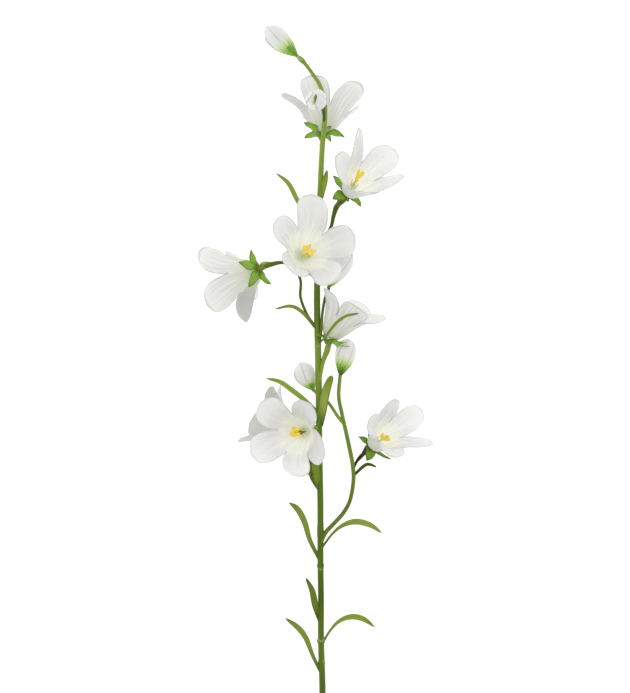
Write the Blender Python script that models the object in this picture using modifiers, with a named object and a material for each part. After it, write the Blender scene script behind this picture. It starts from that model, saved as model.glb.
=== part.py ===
"""Campanula flower stem, cut and laid down.

Metres, +Z up. The stem lies along Y, its cut end towards -Y and its flowers
towards +Y. The surface that it rests on is the plane z = 0, and the origin is
the middle of the flower stem's footprint.

Sizes below are millimetres, and MM turns them to metres where points are made.
"""

import math

import bmesh
import bpy
from mathutils import Matrix, Vector

MM = 0.001
GAP = 0.3              # clearance between two pieces that touch
WELD = 0.000002        # metres: points closer than this become one

# The main stem: x, y, z of its middle line and its radius, from the cut end to the top bud
STEM_ROUTE = [
    (6.0, -270.0, 2.6, 2.3),
    (5.8, -210.0, 11.0, 2.3),
    (4.7, -171.0, 17.0, 2.2),
    (4.7, -142.0, 22.0, 2.2),
    (4.3, -113.0, 26.5, 2.2),
    (4.2, -70.0, 31.5, 2.2),
    (3.4, -30.0, 35.0, 2.2),
    (3.2, 2.0, 37.5, 2.2),
    (2.5, 38.0, 40.0, 2.2),
    (1.8, 74.0, 42.0, 2.2),
    (2.5, 110.0, 43.5, 2.1),
    (3.9, 149.0, 44.8, 2.0),
    (5.4, 181.0, 47.0, 1.9),
    (6.9, 197.0, 48.6, 1.8),
    (7.4, 212.0, 50.0, 1.6),
    (4.2, 226.0, 50.5, 1.4),
    (-1.2, 235.0, 50.5, 1.3),
    (-7.4, 243.2, 50.0, 1.3),
    (-11.6, 247.2, 50.0, 1.3),
]
STEM_STEPS = 46

# Rings round the stem's joints: y of the ring, how far it stands out, and its length
STEM_RINGS = [(-171.8, 0.5, 3.0), (-117.0, 0.5, 2.4), (40.8, 0.35, 1.6), (244.2, 0.5, 2.0)]

# The side branch: from the main stem up to the neck of its bud
BRANCH_ROUTE = [
    (4.6, -100.0, 28.5, 1.5),
    (8.0, -93.0, 29.0, 1.5),
    (14.0, -86.5, 29.5, 1.3),
    (20.8, -78.8, 30.0, 1.3),
    (25.6, -69.5, 31.0, 1.2),
    (28.0, -55.3, 32.5, 1.2),
    (27.3, -43.8, 34.0, 1.2),
    (24.8, -30.8, 36.0, 1.1),
    (22.3, -19.3, 36.5, 1.1),
    (19.8, -8.0, 36.0, 1.1),
    (17.4, 5.0, 35.5, 1.0),
    (18.2, 18.8, 35.0, 1.1),
]
TWIG_ROUTE = [
    (21.2, -15.0, 36.3, 1.0),
    (16.5, -9.2, 36.0, 1.0),
    (9.9, 0.5, 33.5, 0.9),
    (3.8, 5.0, 30.8, 0.9),
    (0.2, 8.4, 30.5, 1.0),
]
BRANCH_STEPS = 22
TWIG_STEPS = 8
STALK_STEP = 5.0       # length of a stalk between two of its rings
STALK_SQUARE = 4.0     # straight length of a stalk under its bloom
STALK_RADIUS = 1.0

# A corolla: five petals joined in a cup, free lobes above it
PETALS = 5
CORE_RADIUS = 3.0      # flat floor of the cup, on the ovary
CUP_LENGTH = 19.0      # along the petal, from the floor's edge to where the lobes part
CUP_LEAN = 12.0        # degrees by which the cup is steeper than the whole bloom
LOBE_FLARE = 26.0      # degrees by which a lobe turns outwards along its length
CUP_ROUNDING = 42.0    # degrees by which the cup spreads more where it leaves the floor
CUP_ROUNDING_LENGTH = 6.5
LOBE_LENGTH = 24.0     # usual free length of a petal
FLARE_START = 0.8      # share of the cup's length where the flare begins
LOBE_LEVELLING = 3.0   # how soon a lobe's cross curve turns square to its mid-line
LOBE_TWISTING = 1.6    # how soon a lobe's twist is complete
LOBE_WIDENING = 6.8    # half width that a lobe gains towards its tip
NARROW_WIDENING = 5.0  # the same in a bloom that opens no further than NARROW_OPENING degrees
NARROW_OPENING = 32
LOBE_SQUARENESS = 2.4  # 2 gives a lobe an oval end, more a broader one
LOBE_FLATTENING = 1.6  # how much flatter a lobe is at its tip than where it leaves the cup
PETAL_THICKNESS = 0.7
PETAL_COLUMNS = 4
CUP_ROWS = 2
LOBE_ROWS = 4
SPINE_STEPS = 12

# A calyx: ovary with five sepals
OVARY_WAIST = 2.4      # its radius half way down
OVARY_BULGE = 0.2      # how far the ovary swells past the corolla's floor
OVARY_SIDES = 8
# A sepal's middle line: distance from the axis and half width as shares of its reach, and height
SEPAL_LINE = [(0.08, -1.9, 0.07), (0.40, -1.8, 0.21), (0.72, -2.5, 0.18), (1.0, -4.5, 0.02)]
SEPAL_THICKNESS = 0.8
SEPAL_FOLD = 0.25      # rise of a sepal's edges over its mid-line, as a share of its half width
SEPAL_ROWS = 3

# Stamens and the style with its stigma
STAMEN_LINE = [(0.7, 0.8, 0.45), (2.0, 9.0, 0.4), (2.8, 12.0, 1.1), (4.6, 16.5, 0.8)]
STYLE_LINE = [(0.7, 12.0), (1.5, 15.0), (0.7, 18.0)]
THROAT_RADIUS = 1.9
THROAT_HEIGHT = 1.2

# Buds
BUD_NECK = 1.2
BUD_RIB = 0.05         # share of its radius that a bud's five ribs stand out
BUD_BELLY = 0.62       # share of its length where a bud is widest
BUD_FULLNESS = 0.85    # how full a bud is below its belly: smaller is fuller
BUD_SHOULDER = 2.2     # how late a bud narrows above its belly
BUD_CROWDING = 1.4     # how much closer its rings are towards the tip
BUD_LIP = 0.6          # width of the mouth's inner ring as a share of its rim
BUD_SIDES = 10
BUD_RINGS = 9
BUD_POINT = 1.2        # rise of the five petal tips round a bud's mouth
BUD_DIMPLE = 4.0       # depth of the mouth
CUP_SHARES = (1.0, 0.75, 0.5, 0.25, 0.0)

# Blooms: place of the corolla's floor, the way it faces, the turn of its first petal and how
# far it opens in degrees. Each petal has its free length, then degrees of lean outwards, of
# sway to its side and of twist about its mid-line. Each sepal has its turn, its reach and how
# far its tip is lifted. The ovary has its length and the radius of its neck, where the stalk
# from the main stem ends.
BLOOMS = {
    "bloom_top": {
        "base": (5.6, 192.9, 40.0), "facing": (0.07, 0.83, -0.55), "turn": -13, "open": 40,
        "petals": [(22.5, 5, -1, 1), (25.0, 0, 2, 2), (24.0, -15, 5, 0),
                   (21.2, -10, 3, -2), (25.2, 0, -3, -19)],
        "sepals": [(50, 9, 7), (100, 16, 3.5), (150, 10.5, 4.5), (240, 16, 7), (306, 15.5, 8)],
        "ovary": (6, 1.2), "stalk": [(6.0, 180.0, 46.0)],
    },
    "bloom_upper_right": {
        "base": (23.7, 150.7, 47.0), "facing": (0.51, 0.47, 0.72), "turn": 18, "open": 34,
        "petals": [(28.7, 0, -9, 22), (26.4, 8, -16, -34), (25.4, -14, -7, 19),
                   (23.9, -19, 15, -6), (25.9, 17, -4, -4)],
        "sepals": [(27, 16, 3.5), (108, 13.5, 2), (170, 11, 2), (228, 14, 1.5), (306, 13, 2)],
        "ovary": (11, 1.5), "stalk": [(3.2, 114.0, 43.6), (9.0, 124.0, 41.5), (12.8, 133.0, 38.5)],
    },
    "bloom_centre": {
        "base": (-9.4, 105.0, 54.5), "facing": (0.34, 0.31, 0.89), "turn": -11, "open": 45,
        "petals": [(25.7, 16, 9, -34), (23.9, -4, 9, 11), (24.0, -12, 10, 11),
                   (22.8, -7, -11, 9), (21.7, -1, 4, 18)],
        "sepals": [(29, 14, 0), (101, 14, 0), (173, 12, 0), (245, 10, 2), (317, 14, 0)],
        "ovary": (8, 1.2), "stalk": [(2.2, 88.0, 42.6), (-5.0, 94.0, 39.5)],
    },
    "bloom_left": {
        "base": (-40.6, 96.1, 42.5), "facing": (-0.68, -0.33, -0.66), "turn": -117, "open": 40,
        "petals": [(23.9, -3, -7, 10), (25.3, 7, 6, 0), (23.9, -9, 10, 0),
                   (22.2, -3, -5, 1), (23.0, 0, -9, 1)],
        "sepals": [(68, 12, 2), (156, 14, 1), (219, 16, 8), (291, 16, 7), (339, 14.5, 1.5)],
        "ovary": (9, 1.8), "stalk": [(1.2, 54.0, 41.0), (-5.5, 64.0, 40.5), (-10.0, 76.0, 40.5),
                                     (-10.0, 88.0, 41.5), (-15.0, 97.0, 46.5), (-22.5, 101.3, 51.0)],
    },
    "bloom_middle_right": {
        "base": (10.1, 46.8, 41.0), "facing": (0.54, 0.84, 0.0), "turn": -36, "open": 36,
        "petals": [(20.0, 10, -15, 0), (19.4, 11, 17, -2), (20.9, 12, -5, -3),
                   (22.7, -5, -3, 19), (23.7, -1, 1, 2)],
        "sepals": [(28, 5, 0), (88, 9.5, 2), (150, 12, 7), (212, 8, 4), (275, 8, 2)],
        "ovary": (5.5, 1.5), "stalk": [(3.0, 12.0, 38.5), (5.2, 24.0, 40.5)],
    },
    "bloom_lower_front": {
        "base": (-6.6, -19.8, 52.0), "facing": (-0.41, -0.15, 0.9), "turn": 38, "open": 40,
        "petals": [(24.5, 4, -3, 16), (24.1, -3, 1, 1), (20.5, -6, 24, 10),
                   (24.6, -1, -8, 0), (23.8, 5, -7, -9)],
        "sepals": [(0, 12, 0), (72, 12, 0), (144, 12, 0), (216, 12, 0), (288, 11, 2)],
        "ovary": (8, 1.2), "stalk": [(3.8, -63.0, 32.0), (-1.5, -53.0, 34.0), (-4.0, -42.0, 36.5),
                                     (-5.5, -29.0, 38.5)],
    },
    "bloom_lower_back": {
        "base": (-11.6, -24.3, 32.8), "facing": (-0.85, 0.47, -0.23), "turn": 42, "open": 33,
        "petals": [(24.7, 10, 0, 9), (23.6, -4, 1, -8), (23.7, -11, 1, 3),
                   (20.4, 12, 4, 5), (23.1, 15, -9, 4)],
        "sepals": [(60, 8, 0), (132, 8, 0), (204, 8, 0), (276, 8, 0), (348, 8, 0)],
        "ovary": (8, 1.2), "stalk": [(3.4, -44.0, 33.5), (0.0, -34.0, 34.0)],
    },
    "bloom_lower_right": {
        "base": (41.4, -30.0, 38.0), "facing": (0.59, 0.43, 0.68), "turn": 6, "open": 31,
        "petals": [(21.8, -23, -1, 2), (23.3, 17, 3, -31), (24.6, 15, -2, 25),
                   (27.4, -7, 3, -12), (24.1, 0, 2, 2)],
        "sepals": [(48, 11.5, 2.5), (146, 13, 2), (215, 16, 9), (280, 11, 1), (345, 11, 2)],
        "ovary": (11, 1.5), "stalk": [(28.0, -47.0, 32.5), (30.0, -42.0, 29.5)],
    },
}

# Buds: place of the neck, the way each points, its length and radius, the height of its green
# calyx, how far its tip is open as a share of its radius, and its stalk from the main stem
BUDS = {
    "bud_tip": {
        "base": (-11.8, 247.4, 50.0), "facing": (-0.74, 0.67, 0.0), "length": 30.5, "radius": 7.2,
        "calyx": 10.0, "mouth": 0.4, "stalk": [],
    },
    "bud_below_tip": {
        "base": (4.9, 210.4, 56.0), "facing": (-0.35, 0.50, 0.79), "length": 18.0, "radius": 8.0,
        "calyx": 4.5, "mouth": 0.45, "stalk": [(7.3, 199.0, 48.8), (6.9, 203.0, 50.5)],
    },
    "bud_opening": {
        "base": (9.6, 82.2, 41.0), "facing": (0.50, 0.86, 0.08), "length": 31.0, "radius": 6.6,
        "calyx": 7.0, "mouth": 0.45, "stalk": [(2.4, 52.0, 41.2), (4.0, 60.0, 40.5), (5.2, 69.0, 40.2)],
    },
    "bud_branch": {
        "base": (18.3, 19.1, 35.0), "facing": (0.23, 0.97, 0.0), "length": 27.0, "radius": 7.0,
        "calyx": 9.0, "mouth": 0.4, "stalk": [],
    },
    "bud_left": {
        "base": (-0.4, 8.8, 30.5), "facing": (-0.48, 0.88, 0.0), "length": 22.0, "radius": 7.2,
        "calyx": 6.0, "mouth": 0.4, "stalk": [],
    },
}

# Leaves: x, y, z and half width along the middle line, from a root sunk in the stem to the tip
STEM_LEAVES = {
    "leaf_upper_left": [(3.0, 128.0, 44.0, 1.2), (-3.9, 136.3, 46.0, 1.4), (-11.2, 143.5, 47.0, 1.5),
                        (-18.5, 157.0, 47.5, 1.5), (-27.3, 164.4, 46.5, 0.4)],
    "leaf_sheath": [(3.6, 143.0, 45.0, 1.6), (5.4, 152.0, 46.0, 2.2), (7.6, 160.0, 46.5, 1.9),
                    (9.0, 166.5, 46.5, 0.6)],
    "leaf_mid_left": [(1.8, 53.0, 41.0, 1.1), (-7.9, 64.5, 43.5, 1.2), (-16.8, 69.5, 44.5, 1.1),
                      (-27.8, 67.6, 44.0, 0.4)],
    "leaf_mid_right": [(3.4, 43.0, 40.5, 1.0), (7.8, 47.6, 53.5, 1.1), (15.2, 57.2, 61.5, 1.1),
                       (22.6, 62.3, 66.0, 1.0), (31.2, 64.1, 70.0, 0.4)],
    "leaf_lower_left": [(3.4, -8.0, 37.0, 1.4), (-7.1, 2.3, 42.0, 1.6), (-16.1, 9.5, 44.5, 1.7),
                        (-24.8, 15.5, 45.5, 1.5), (-34.4, 17.9, 45.0, 0.4)],
    "leaf_stalk": [(-1.5, -51.0, 33.0, 0.9), (-4.2, -49.3, 34.0, 1.1), (-7.2, -51.5, 34.5, 0.4)],
    "leaf_broad": [(4.4, -16.0, 37.0, 2.0), (6.6, -6.0, 39.5, 3.2), (8.4, 3.0, 40.5, 2.9),
                   (10.6, 12.0, 41.0, 2.2), (12.6, 19.6, 41.5, 1.0)],
    "leaf_base_left": [(4.3, -114.0, 26.2, 1.2), (-3.2, -98.7, 29.0, 1.5), (-7.1, -85.6, 30.5, 2.0),
                       (-12.1, -76.2, 31.0, 2.0), (-18.3, -71.5, 31.0, 0.7)],
    "leaf_base_right": [(4.5, -105.0, 27.5, 0.8), (13.0, -94.0, 26.5, 0.8), (20.7, -87.9, 25.0, 1.4),
                        (30.0, -85.6, 20.0, 2.0), (40.3, -88.5, 11.0, 1.8), (48.6, -94.6, 0.7, 0.5)],
    "leaf_foot_upper": [(4.0, -157.0, 19.5, 1.6), (0.6, -145.9, 23.0, 2.2), (-1.8, -134.8, 25.0, 2.0),
                        (-6.1, -126.0, 25.5, 0.6)],
    "leaf_foot_left": [(5.0, -196.0, 13.3, 1.0), (-1.3, -182.4, 15.5, 1.3), (-6.3, -169.7, 17.0, 1.8),
                       (-12.3, -161.9, 18.0, 1.9), (-20.9, -155.5, 18.5, 0.7)],
    "leaf_foot_right": [(4.9, -175.0, 16.5, 0.8), (11.4, -164.2, 18.5, 0.8), (18.2, -157.2, 19.5, 1.3),
                        (26.7, -154.2, 20.0, 1.9), (35.6, -156.0, 20.0, 1.8), (43.4, -161.8, 19.5, 0.5)],
}
BRANCH_LEAVES = {
    "leaf_branch": [(28.0, -52.0, 33.0, 0.9), (35.9, -44.8, 32.0, 1.1), (39.9, -44.1, 32.0, 1.0),
                    (44.5, -45.9, 31.5, 0.4)],
}
LEAF_THICKNESS = 0.8
LEAF_FOLD = 0.35       # rise of a leaf's edges over its mid-line, as a share of its half width
LEAF_ROWS = 6


def clear_scene():
    for thing in list(bpy.data.objects):
        bpy.data.objects.remove(thing, do_unlink=True)


def new_collection(name):
    group = bpy.data.collections.new(name)
    bpy.context.scene.collection.children.link(group)
    return group


def make_material(name, colour, roughness):
    material = bpy.data.materials.new(name)
    material.use_nodes = True
    shader = material.node_tree.nodes["Principled BSDF"]
    shader.inputs["Base Color"].default_value = (*colour, 1.0)
    shader.inputs["Roughness"].default_value = roughness
    shader.inputs["Metallic"].default_value = 0.0
    return material


def new_object(name, data, group):
    thing = bpy.data.objects.new(name, data)
    group.objects.link(thing)
    return thing


def ramp(share):
    """An even start and end between 0 and 1."""
    share = min(max(share, 0.0), 1.0)
    return share * share * (3 - 2 * share)


def point_on(stations, share):
    """The station (x, y, z, size) at a share of the way along a smooth line through the given ones."""
    stations = [Vector(station) for station in stations]
    padded = [2 * stations[0] - stations[1], *stations, 2 * stations[-1] - stations[-2]]
    spans = [(end.xyz - start.xyz).length for start, end in zip(stations, stations[1:])]
    distance = share * sum(spans)
    index = 0
    while index < len(spans) - 1 and distance > spans[index]:
        distance -= spans[index]
        index += 1
    before, start, end, after = padded[index:index + 4]
    t = distance / spans[index]
    linear = (end - before) * t
    square = (2 * before - 5 * start + 4 * end - after) * t * t
    cube = (3 * start - before - 3 * end + after) * t ** 3
    return 0.5 * (2 * start + linear + square + cube)


def weld_mesh(mesh):
    """Merge doubled points, so that loose caps and copies become one closed skin."""
    bm = bmesh.new()
    bm.from_mesh(mesh)
    bmesh.ops.remove_doubles(bm, verts=bm.verts, dist=WELD)
    bm.to_mesh(mesh)
    bm.free()


def settle(thing, group):
    """Replace an object by a plain mesh of what its curve or modifiers make."""
    bpy.context.view_layer.update()
    graph = bpy.context.evaluated_depsgraph_get()
    mesh = bpy.data.meshes.new_from_object(thing.evaluated_get(graph))
    weld_mesh(mesh)
    name = thing.name
    place = thing.matrix_world.copy()
    bpy.data.objects.remove(thing, do_unlink=True)
    result = new_object(name, mesh, group)
    result.matrix_world = place
    return result


def tube(name, stations, steps, group, resolution=2):
    """A round stalk along a smooth line, as a curve with filled caps that is then made a mesh."""
    curve = bpy.data.curves.new(name, "CURVE")
    curve.dimensions = "3D"
    curve.bevel_depth = MM
    curve.bevel_resolution = resolution
    curve.use_fill_caps = True
    spline = curve.splines.new("POLY")
    spline.points.add(steps)
    for index, point in enumerate(spline.points):
        station = point_on(stations, index / steps)
        point.co = (*(station.xyz * MM), 1.0)
        point.radius = station.w
    return settle(new_object(name, curve, group), group)


def blade(name, stations, upper, columns, rows, fold, thickness, group):
    """A thin blade along a smooth line: a grid that is bent to the line and given its thickness."""
    bm = bmesh.new()
    bmesh.ops.create_grid(bm, x_segments=columns, y_segments=rows, size=1.0)
    for vert in bm.verts:
        across = vert.co.x
        share = (vert.co.y + 1) / 2
        station = point_on(stations, share)
        ahead = point_on(stations, min(share + 0.02, 1.0))
        behind = point_on(stations, max(share - 0.02, 0.0))
        along = (ahead.xyz - behind.xyz).normalized()
        side = along.cross(Vector(upper)).normalized()
        rise = side.cross(along) * fold * abs(across) * station.w
        vert.co = (station.xyz + side * across * station.w + rise) * MM
    bmesh.ops.triangulate(bm, faces=bm.faces)
    mesh = bpy.data.meshes.new(name)
    bm.to_mesh(mesh)
    bm.free()
    thing = new_object(name, mesh, group)
    add_wall(thing, thickness)
    return thing


def add_wall(thing, thickness):
    wall = thing.modifiers.new("wall", "SOLIDIFY")
    wall.thickness = thickness * MM
    wall.offset = 0.0


def turned(name, profile, sides, group):
    """A solid turned about Z from (radius, height) points that run from its top down to its foot."""
    mesh = bpy.data.meshes.new(name)
    points = [(radius * MM, 0.0, height * MM) for radius, height in profile]
    mesh.from_pydata(points, [(i, i + 1) for i in range(len(points) - 1)], [])
    thing = new_object(name, mesh, group)
    screw = thing.modifiers.new("turn", "SCREW")
    screw.steps = sides
    screw.render_steps = sides
    screw.use_merge_vertices = True
    screw.merge_threshold = WELD
    return thing


def fuse(name, body, others, group, solver="EXACT"):
    """Unite a body with the others in one Boolean, as one mesh."""
    pieces = bpy.data.collections.new(name + "_pieces")
    bpy.context.scene.collection.children.link(pieces)
    for other in others:
        group.objects.unlink(other)
        pieces.objects.link(other)
    union = body.modifiers.new("union", "BOOLEAN")
    union.operation = "UNION"
    union.operand_type = "COLLECTION"
    union.collection = pieces
    union.solver = solver
    body.name = name
    result = settle(body, group)
    for other in list(pieces.objects):
        bpy.data.objects.remove(other, do_unlink=True)
    bpy.data.collections.remove(pieces)
    return result


def finish(thing, material):
    """Give a piece its material and smooth shading up to a crease."""
    thing.data.materials.clear()
    thing.data.materials.append(material)
    thing.data.shade_smooth()
    thing.data.set_sharp_from_angle(angle=math.radians(40))


def frame_of(item):
    """The place of a bloom or bud: local Z is the way it faces, local Y is as near to +Y as it can be."""
    facing = Vector(item["facing"]).normalized()
    upward = (Vector((0, 1, 0)) - facing * facing.y).normalized()
    turn = Matrix((upward.cross(facing), upward, facing)).transposed().to_4x4()
    return Matrix.Translation(Vector(item["base"]) * MM) @ turn


def stand(thing, item):
    thing.matrix_world = frame_of(item)


def petal_spine(opening, free_length, lean, distance):
    """Radius, height and slope of a petal's mid-line at a distance from the floor's edge."""
    radius = CORE_RADIUS
    height = 0.0
    slope = 0.0
    step = distance / SPINE_STEPS
    for index in range(SPINE_STEPS):
        here = (index + 0.5) * step
        free = ramp((here - CUP_LENGTH * FLARE_START) / free_length)
        rounding = CUP_ROUNDING * max(0.0, 1.0 - here / CUP_ROUNDING_LENGTH)
        slope = math.radians(opening - CUP_LEAN + rounding + (LOBE_FLARE + lean) * free)
        radius += math.sin(slope) * step
        height += math.cos(slope) * step
    return radius, height, slope


def rounded(across, share):
    """Fit the square of a grid into a lobe's outline: how far along it a point is, and across it."""
    run = share * math.sqrt(1 - across * across / 2)
    spread = across * math.sqrt(1 - share * share / 2)
    reach = math.hypot(run, spread)
    if reach > 0:
        outline = (run ** LOBE_SQUARENESS + abs(spread) ** LOBE_SQUARENESS) ** (1 / LOBE_SQUARENESS)
        run *= reach / outline
        spread *= reach / outline
    return run, spread


def cup_point(bloom, index, across, share):
    """A point of the cup: a surface turned about the bloom's own axis."""
    angle = math.radians(bloom["turn"] + index * 360 / PETALS) + across * math.pi / PETALS
    radius, height, _ = petal_spine(bloom["open"], LOBE_LENGTH, 0.0, CUP_LENGTH * share)
    return Vector((-math.sin(angle) * radius, math.cos(angle) * radius, height))


def lobe_point(bloom, index, across, share):
    """A point of a free lobe: a rounded outline, bent across and along, swayed and twisted."""
    free_length, lean, sway, twist = bloom["petals"][index]
    middle = math.radians(bloom["turn"] + index * 360 / PETALS)
    ahead = Vector((-math.sin(middle), math.cos(middle), 0.0))
    aside = Vector((-math.cos(middle), -math.sin(middle), 0.0))
    upward = Vector((0.0, 0.0, 1.0))
    run, spread = rounded(across, share)
    joined, _, _ = petal_spine(bloom["open"], LOBE_LENGTH, 0.0, CUP_LENGTH)
    radius, height, slope = petal_spine(bloom["open"], free_length, lean, CUP_LENGTH + free_length * run)
    bend_radius = joined * (1 + LOBE_FLATTENING * run)
    widening = LOBE_WIDENING if bloom["open"] > NARROW_OPENING else NARROW_WIDENING
    bend = spread * (joined * math.pi / PETALS + widening * run) / bend_radius
    tilt = slope * ramp(run * LOBE_LEVELLING)
    inward = upward * math.sin(tilt) - ahead * math.cos(tilt)
    offset = aside * bend_radius * math.sin(bend) + inward * bend_radius * (1 - math.cos(bend))
    along = ahead * math.sin(slope) + upward * math.cos(slope)
    offset = Matrix.Rotation(math.radians(twist) * ramp(run * LOBE_TWISTING), 3, along) @ offset
    sideways = aside * math.sin(math.radians(sway)) * free_length * run * run
    return ahead * radius + upward * height + offset + sideways


def make_corolla(name, bloom, group, material):
    """Five petals from grids, merged where the cup joins them, over a flat floor."""
    bm = bmesh.new()
    for index in range(PETALS):
        grid = bmesh.ops.create_grid(bm, x_segments=PETAL_COLUMNS, y_segments=CUP_ROWS + LOBE_ROWS, size=1.0)
        for vert in grid["verts"]:
            across = vert.co.x
            row = (vert.co.y + 1) / 2 * (CUP_ROWS + LOBE_ROWS)
            if row < CUP_ROWS + 0.5:
                vert.co = cup_point(bloom, index, across, row / CUP_ROWS) * MM
            else:
                vert.co = lobe_point(bloom, index, across, (row - CUP_ROWS) / LOBE_ROWS) * MM
    bmesh.ops.remove_doubles(bm, verts=bm.verts, dist=WELD)
    floor = [edge for edge in bm.edges if edge.is_boundary and max(v.co.z for v in edge.verts) < WELD]
    bmesh.ops.edgeloop_fill(bm, edges=floor)
    bmesh.ops.recalc_face_normals(bm, faces=bm.faces)
    bmesh.ops.triangulate(bm, faces=bm.faces)
    mesh = bpy.data.meshes.new(name)
    bm.to_mesh(mesh)
    bm.free()
    thing = new_object(name, mesh, group)
    add_wall(thing, PETAL_THICKNESS)
    stand(thing, bloom)
    finish(thing, material)


def around(line, angle):
    """Turn (radius, height, size) points about Z to an angle, as stations of a line."""
    return [(-math.sin(angle) * radius, math.cos(angle) * radius, height, size)
            for radius, height, size in line]


def make_calyx(name, bloom, group, material):
    """The ovary, turned, with five sepals that spread from its top."""
    top = -PETAL_THICKNESS / 2 - GAP
    length, neck = bloom["ovary"]
    profile = [(0.0, top), (CORE_RADIUS, top), (CORE_RADIUS + OVARY_BULGE, top - 2.0),
               (OVARY_WAIST, top - length * 0.5), (neck, top - length), (0.0, top - length)]
    ovary = turned(name + "_ovary", profile, OVARY_SIDES, group)
    sepals = []
    for index, (turn, reach, lift) in enumerate(bloom["sepals"]):
        line = [(away * reach, height + lift * away ** 3, size * reach)
                for away, height, size in SEPAL_LINE]
        sepals.append(blade(f"{name}_sepal_{index}", around(line, math.radians(turn)), (0, 0, 1), 2,
                            SEPAL_ROWS, SEPAL_FOLD, SEPAL_THICKNESS, group))
    thing = fuse(name, ovary, sepals, group, "MANIFOLD")
    stand(thing, bloom)
    finish(thing, material)


def make_stamens(name, bloom, group, material):
    """Five stamens round a style, on a disc that stands in the throat."""
    foot = PETAL_THICKNESS / 2 + GAP
    profile = [(0.0, STYLE_LINE[-1][1]), *reversed(STYLE_LINE)]
    profile += [(THROAT_RADIUS, foot + THROAT_HEIGHT), (THROAT_RADIUS, foot), (0.0, foot)]
    style = turned(name + "_style", profile, 6, group)
    stamens = []
    for index in range(PETALS):
        angle = math.radians(bloom["turn"] + index * 360 / PETALS)
        stamens.append(tube(f"{name}_stamen_{index}", around(STAMEN_LINE, angle), 3, group, 0))
    thing = fuse(name, style, stamens, group)
    stand(thing, bloom)
    finish(thing, material)


def bud_radius(bud, height):
    """Radius of a bud at a height, before its ribs: a swelling belly and a half open mouth."""
    share = height / bud["length"]
    if share < BUD_BELLY:
        return max(BUD_NECK, bud["radius"] * math.sin(math.pi / 2 * share / BUD_BELLY) ** BUD_FULLNESS)
    narrowing = (share - BUD_BELLY) / (1 - BUD_BELLY)
    return bud["radius"] * math.sqrt(1 - (1 - bud["mouth"] ** 2) * narrowing ** BUD_SHOULDER)


def make_bud(name, bud, group, material):
    """A ribbed closed bud: a sphere drawn out ring by ring to the bud's outline, with a flat foot."""
    bm = bmesh.new()
    bmesh.ops.create_uvsphere(bm, u_segments=BUD_SIDES, v_segments=BUD_RINGS, radius=1.0)
    foot = bud["calyx"] + GAP
    last = BUD_RINGS - 1
    for vert in bm.verts:
        ring = round(BUD_RINGS * math.acos(max(-1.0, min(1.0, -vert.co.z))) / math.pi)
        turn = math.atan2(vert.co.y, vert.co.x)
        climb = min(max(ring - 1, 0) / (last - 2), 1.0)
        height = foot + (bud["length"] - foot) * (1 - (1 - climb) ** BUD_CROWDING)
        radius = bud_radius(bud, height) * (1 + BUD_RIB * math.cos(PETALS * turn) * climb)
        height += BUD_POINT * math.cos(PETALS * turn) * climb ** 4
        if ring == last:
            radius *= BUD_LIP
            height = bud["length"] - BUD_DIMPLE / 2
        if ring in (0, BUD_RINGS):
            radius = 0.0
            height = foot if ring == 0 else bud["length"] - BUD_DIMPLE
        vert.co = Vector((math.cos(turn) * radius, math.sin(turn) * radius, height)) * MM
    mesh = bpy.data.meshes.new(name)
    bm.to_mesh(mesh)
    bm.free()
    thing = new_object(name, mesh, group)
    stand(thing, bud)
    finish(thing, material)


def make_bud_calyx(name, bud, group, material):
    """The green cup under a bud, turned to carry the bud's own outline down to the neck."""
    top = bud["calyx"]
    profile = [(0.0, top)]
    profile += [(bud_radius(bud, top * share), top * share) for share in CUP_SHARES]
    profile += [(0.0, 0.0)]
    thing = turned(name, profile, BUD_SIDES, group)
    thing = settle(thing, group)
    stand(thing, bud)
    finish(thing, material)


def ovary_foot(bloom):
    return -PETAL_THICKNESS / 2 - GAP - bloom["ovary"][0]


def make_stalk(name, item, neck, radius, group):
    """A stalk that ends square on the neck of its bloom or bud."""
    place = frame_of(item)
    end = (place @ Vector((0, 0, (neck - GAP) * MM))) / MM
    near = (place @ Vector((0, 0, (neck - GAP - STALK_SQUARE) * MM))) / MM
    points = [Vector(point) for point in item["stalk"]] + [near, end]
    length = sum((end - start).length for start, end in zip(points, points[1:]))
    stations = [(*point, STALK_RADIUS) for point in points[:-2]] + [(*near, radius), (*end, radius)]
    return tube(name, stations, math.ceil(length / STALK_STEP), group, 1)


def ring_piece(name, y, proud, length, group):
    """A short sleeve round the stem's joint."""
    share = stem_share(y)
    spot = point_on(STEM_ROUTE, share)
    ahead = point_on(STEM_ROUTE, share + 0.01)
    along = (ahead.xyz - spot.xyz).normalized() * length / 2
    stations = [(*(spot.xyz - along), spot.w + proud), (*(spot.xyz + along), spot.w + proud)]
    return tube(name, stations, 1, group)


def stem_share(y):
    """The share of the stem's route where it passes a given y."""
    low = 0.0
    high = 0.99
    for _ in range(30):
        middle = (low + high) / 2
        if point_on(STEM_ROUTE, middle).y < y:
            low = middle
        else:
            high = middle
    return low


def make_leaves(leaves, group):
    return [blade(name, stations, (0, 0, 1), 2, LEAF_ROWS, LEAF_FOLD, LEAF_THICKNESS, group)
            for name, stations in leaves.items()]


def make_main_stem(group, material):
    """The stem with its joints, its leaves and the stalks of the blooms that it carries."""
    body = tube("stem_body", STEM_ROUTE, STEM_STEPS, group)
    others = make_leaves(STEM_LEAVES, group)
    for index, (y, proud, length) in enumerate(STEM_RINGS):
        others.append(ring_piece(f"ring_{index}", y, proud, length, group))
    for name, bloom in BLOOMS.items():
        if name != "bloom_lower_right":
            others.append(make_stalk(name + "_stalk", bloom, ovary_foot(bloom), bloom["ovary"][1], group))
    for name, bud in BUDS.items():
        if bud["stalk"]:
            others.append(make_stalk(name + "_stalk", bud, 0.0, STALK_RADIUS, group))
    thing = fuse("main_stem", body, others, group)
    finish(thing, material)


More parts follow.
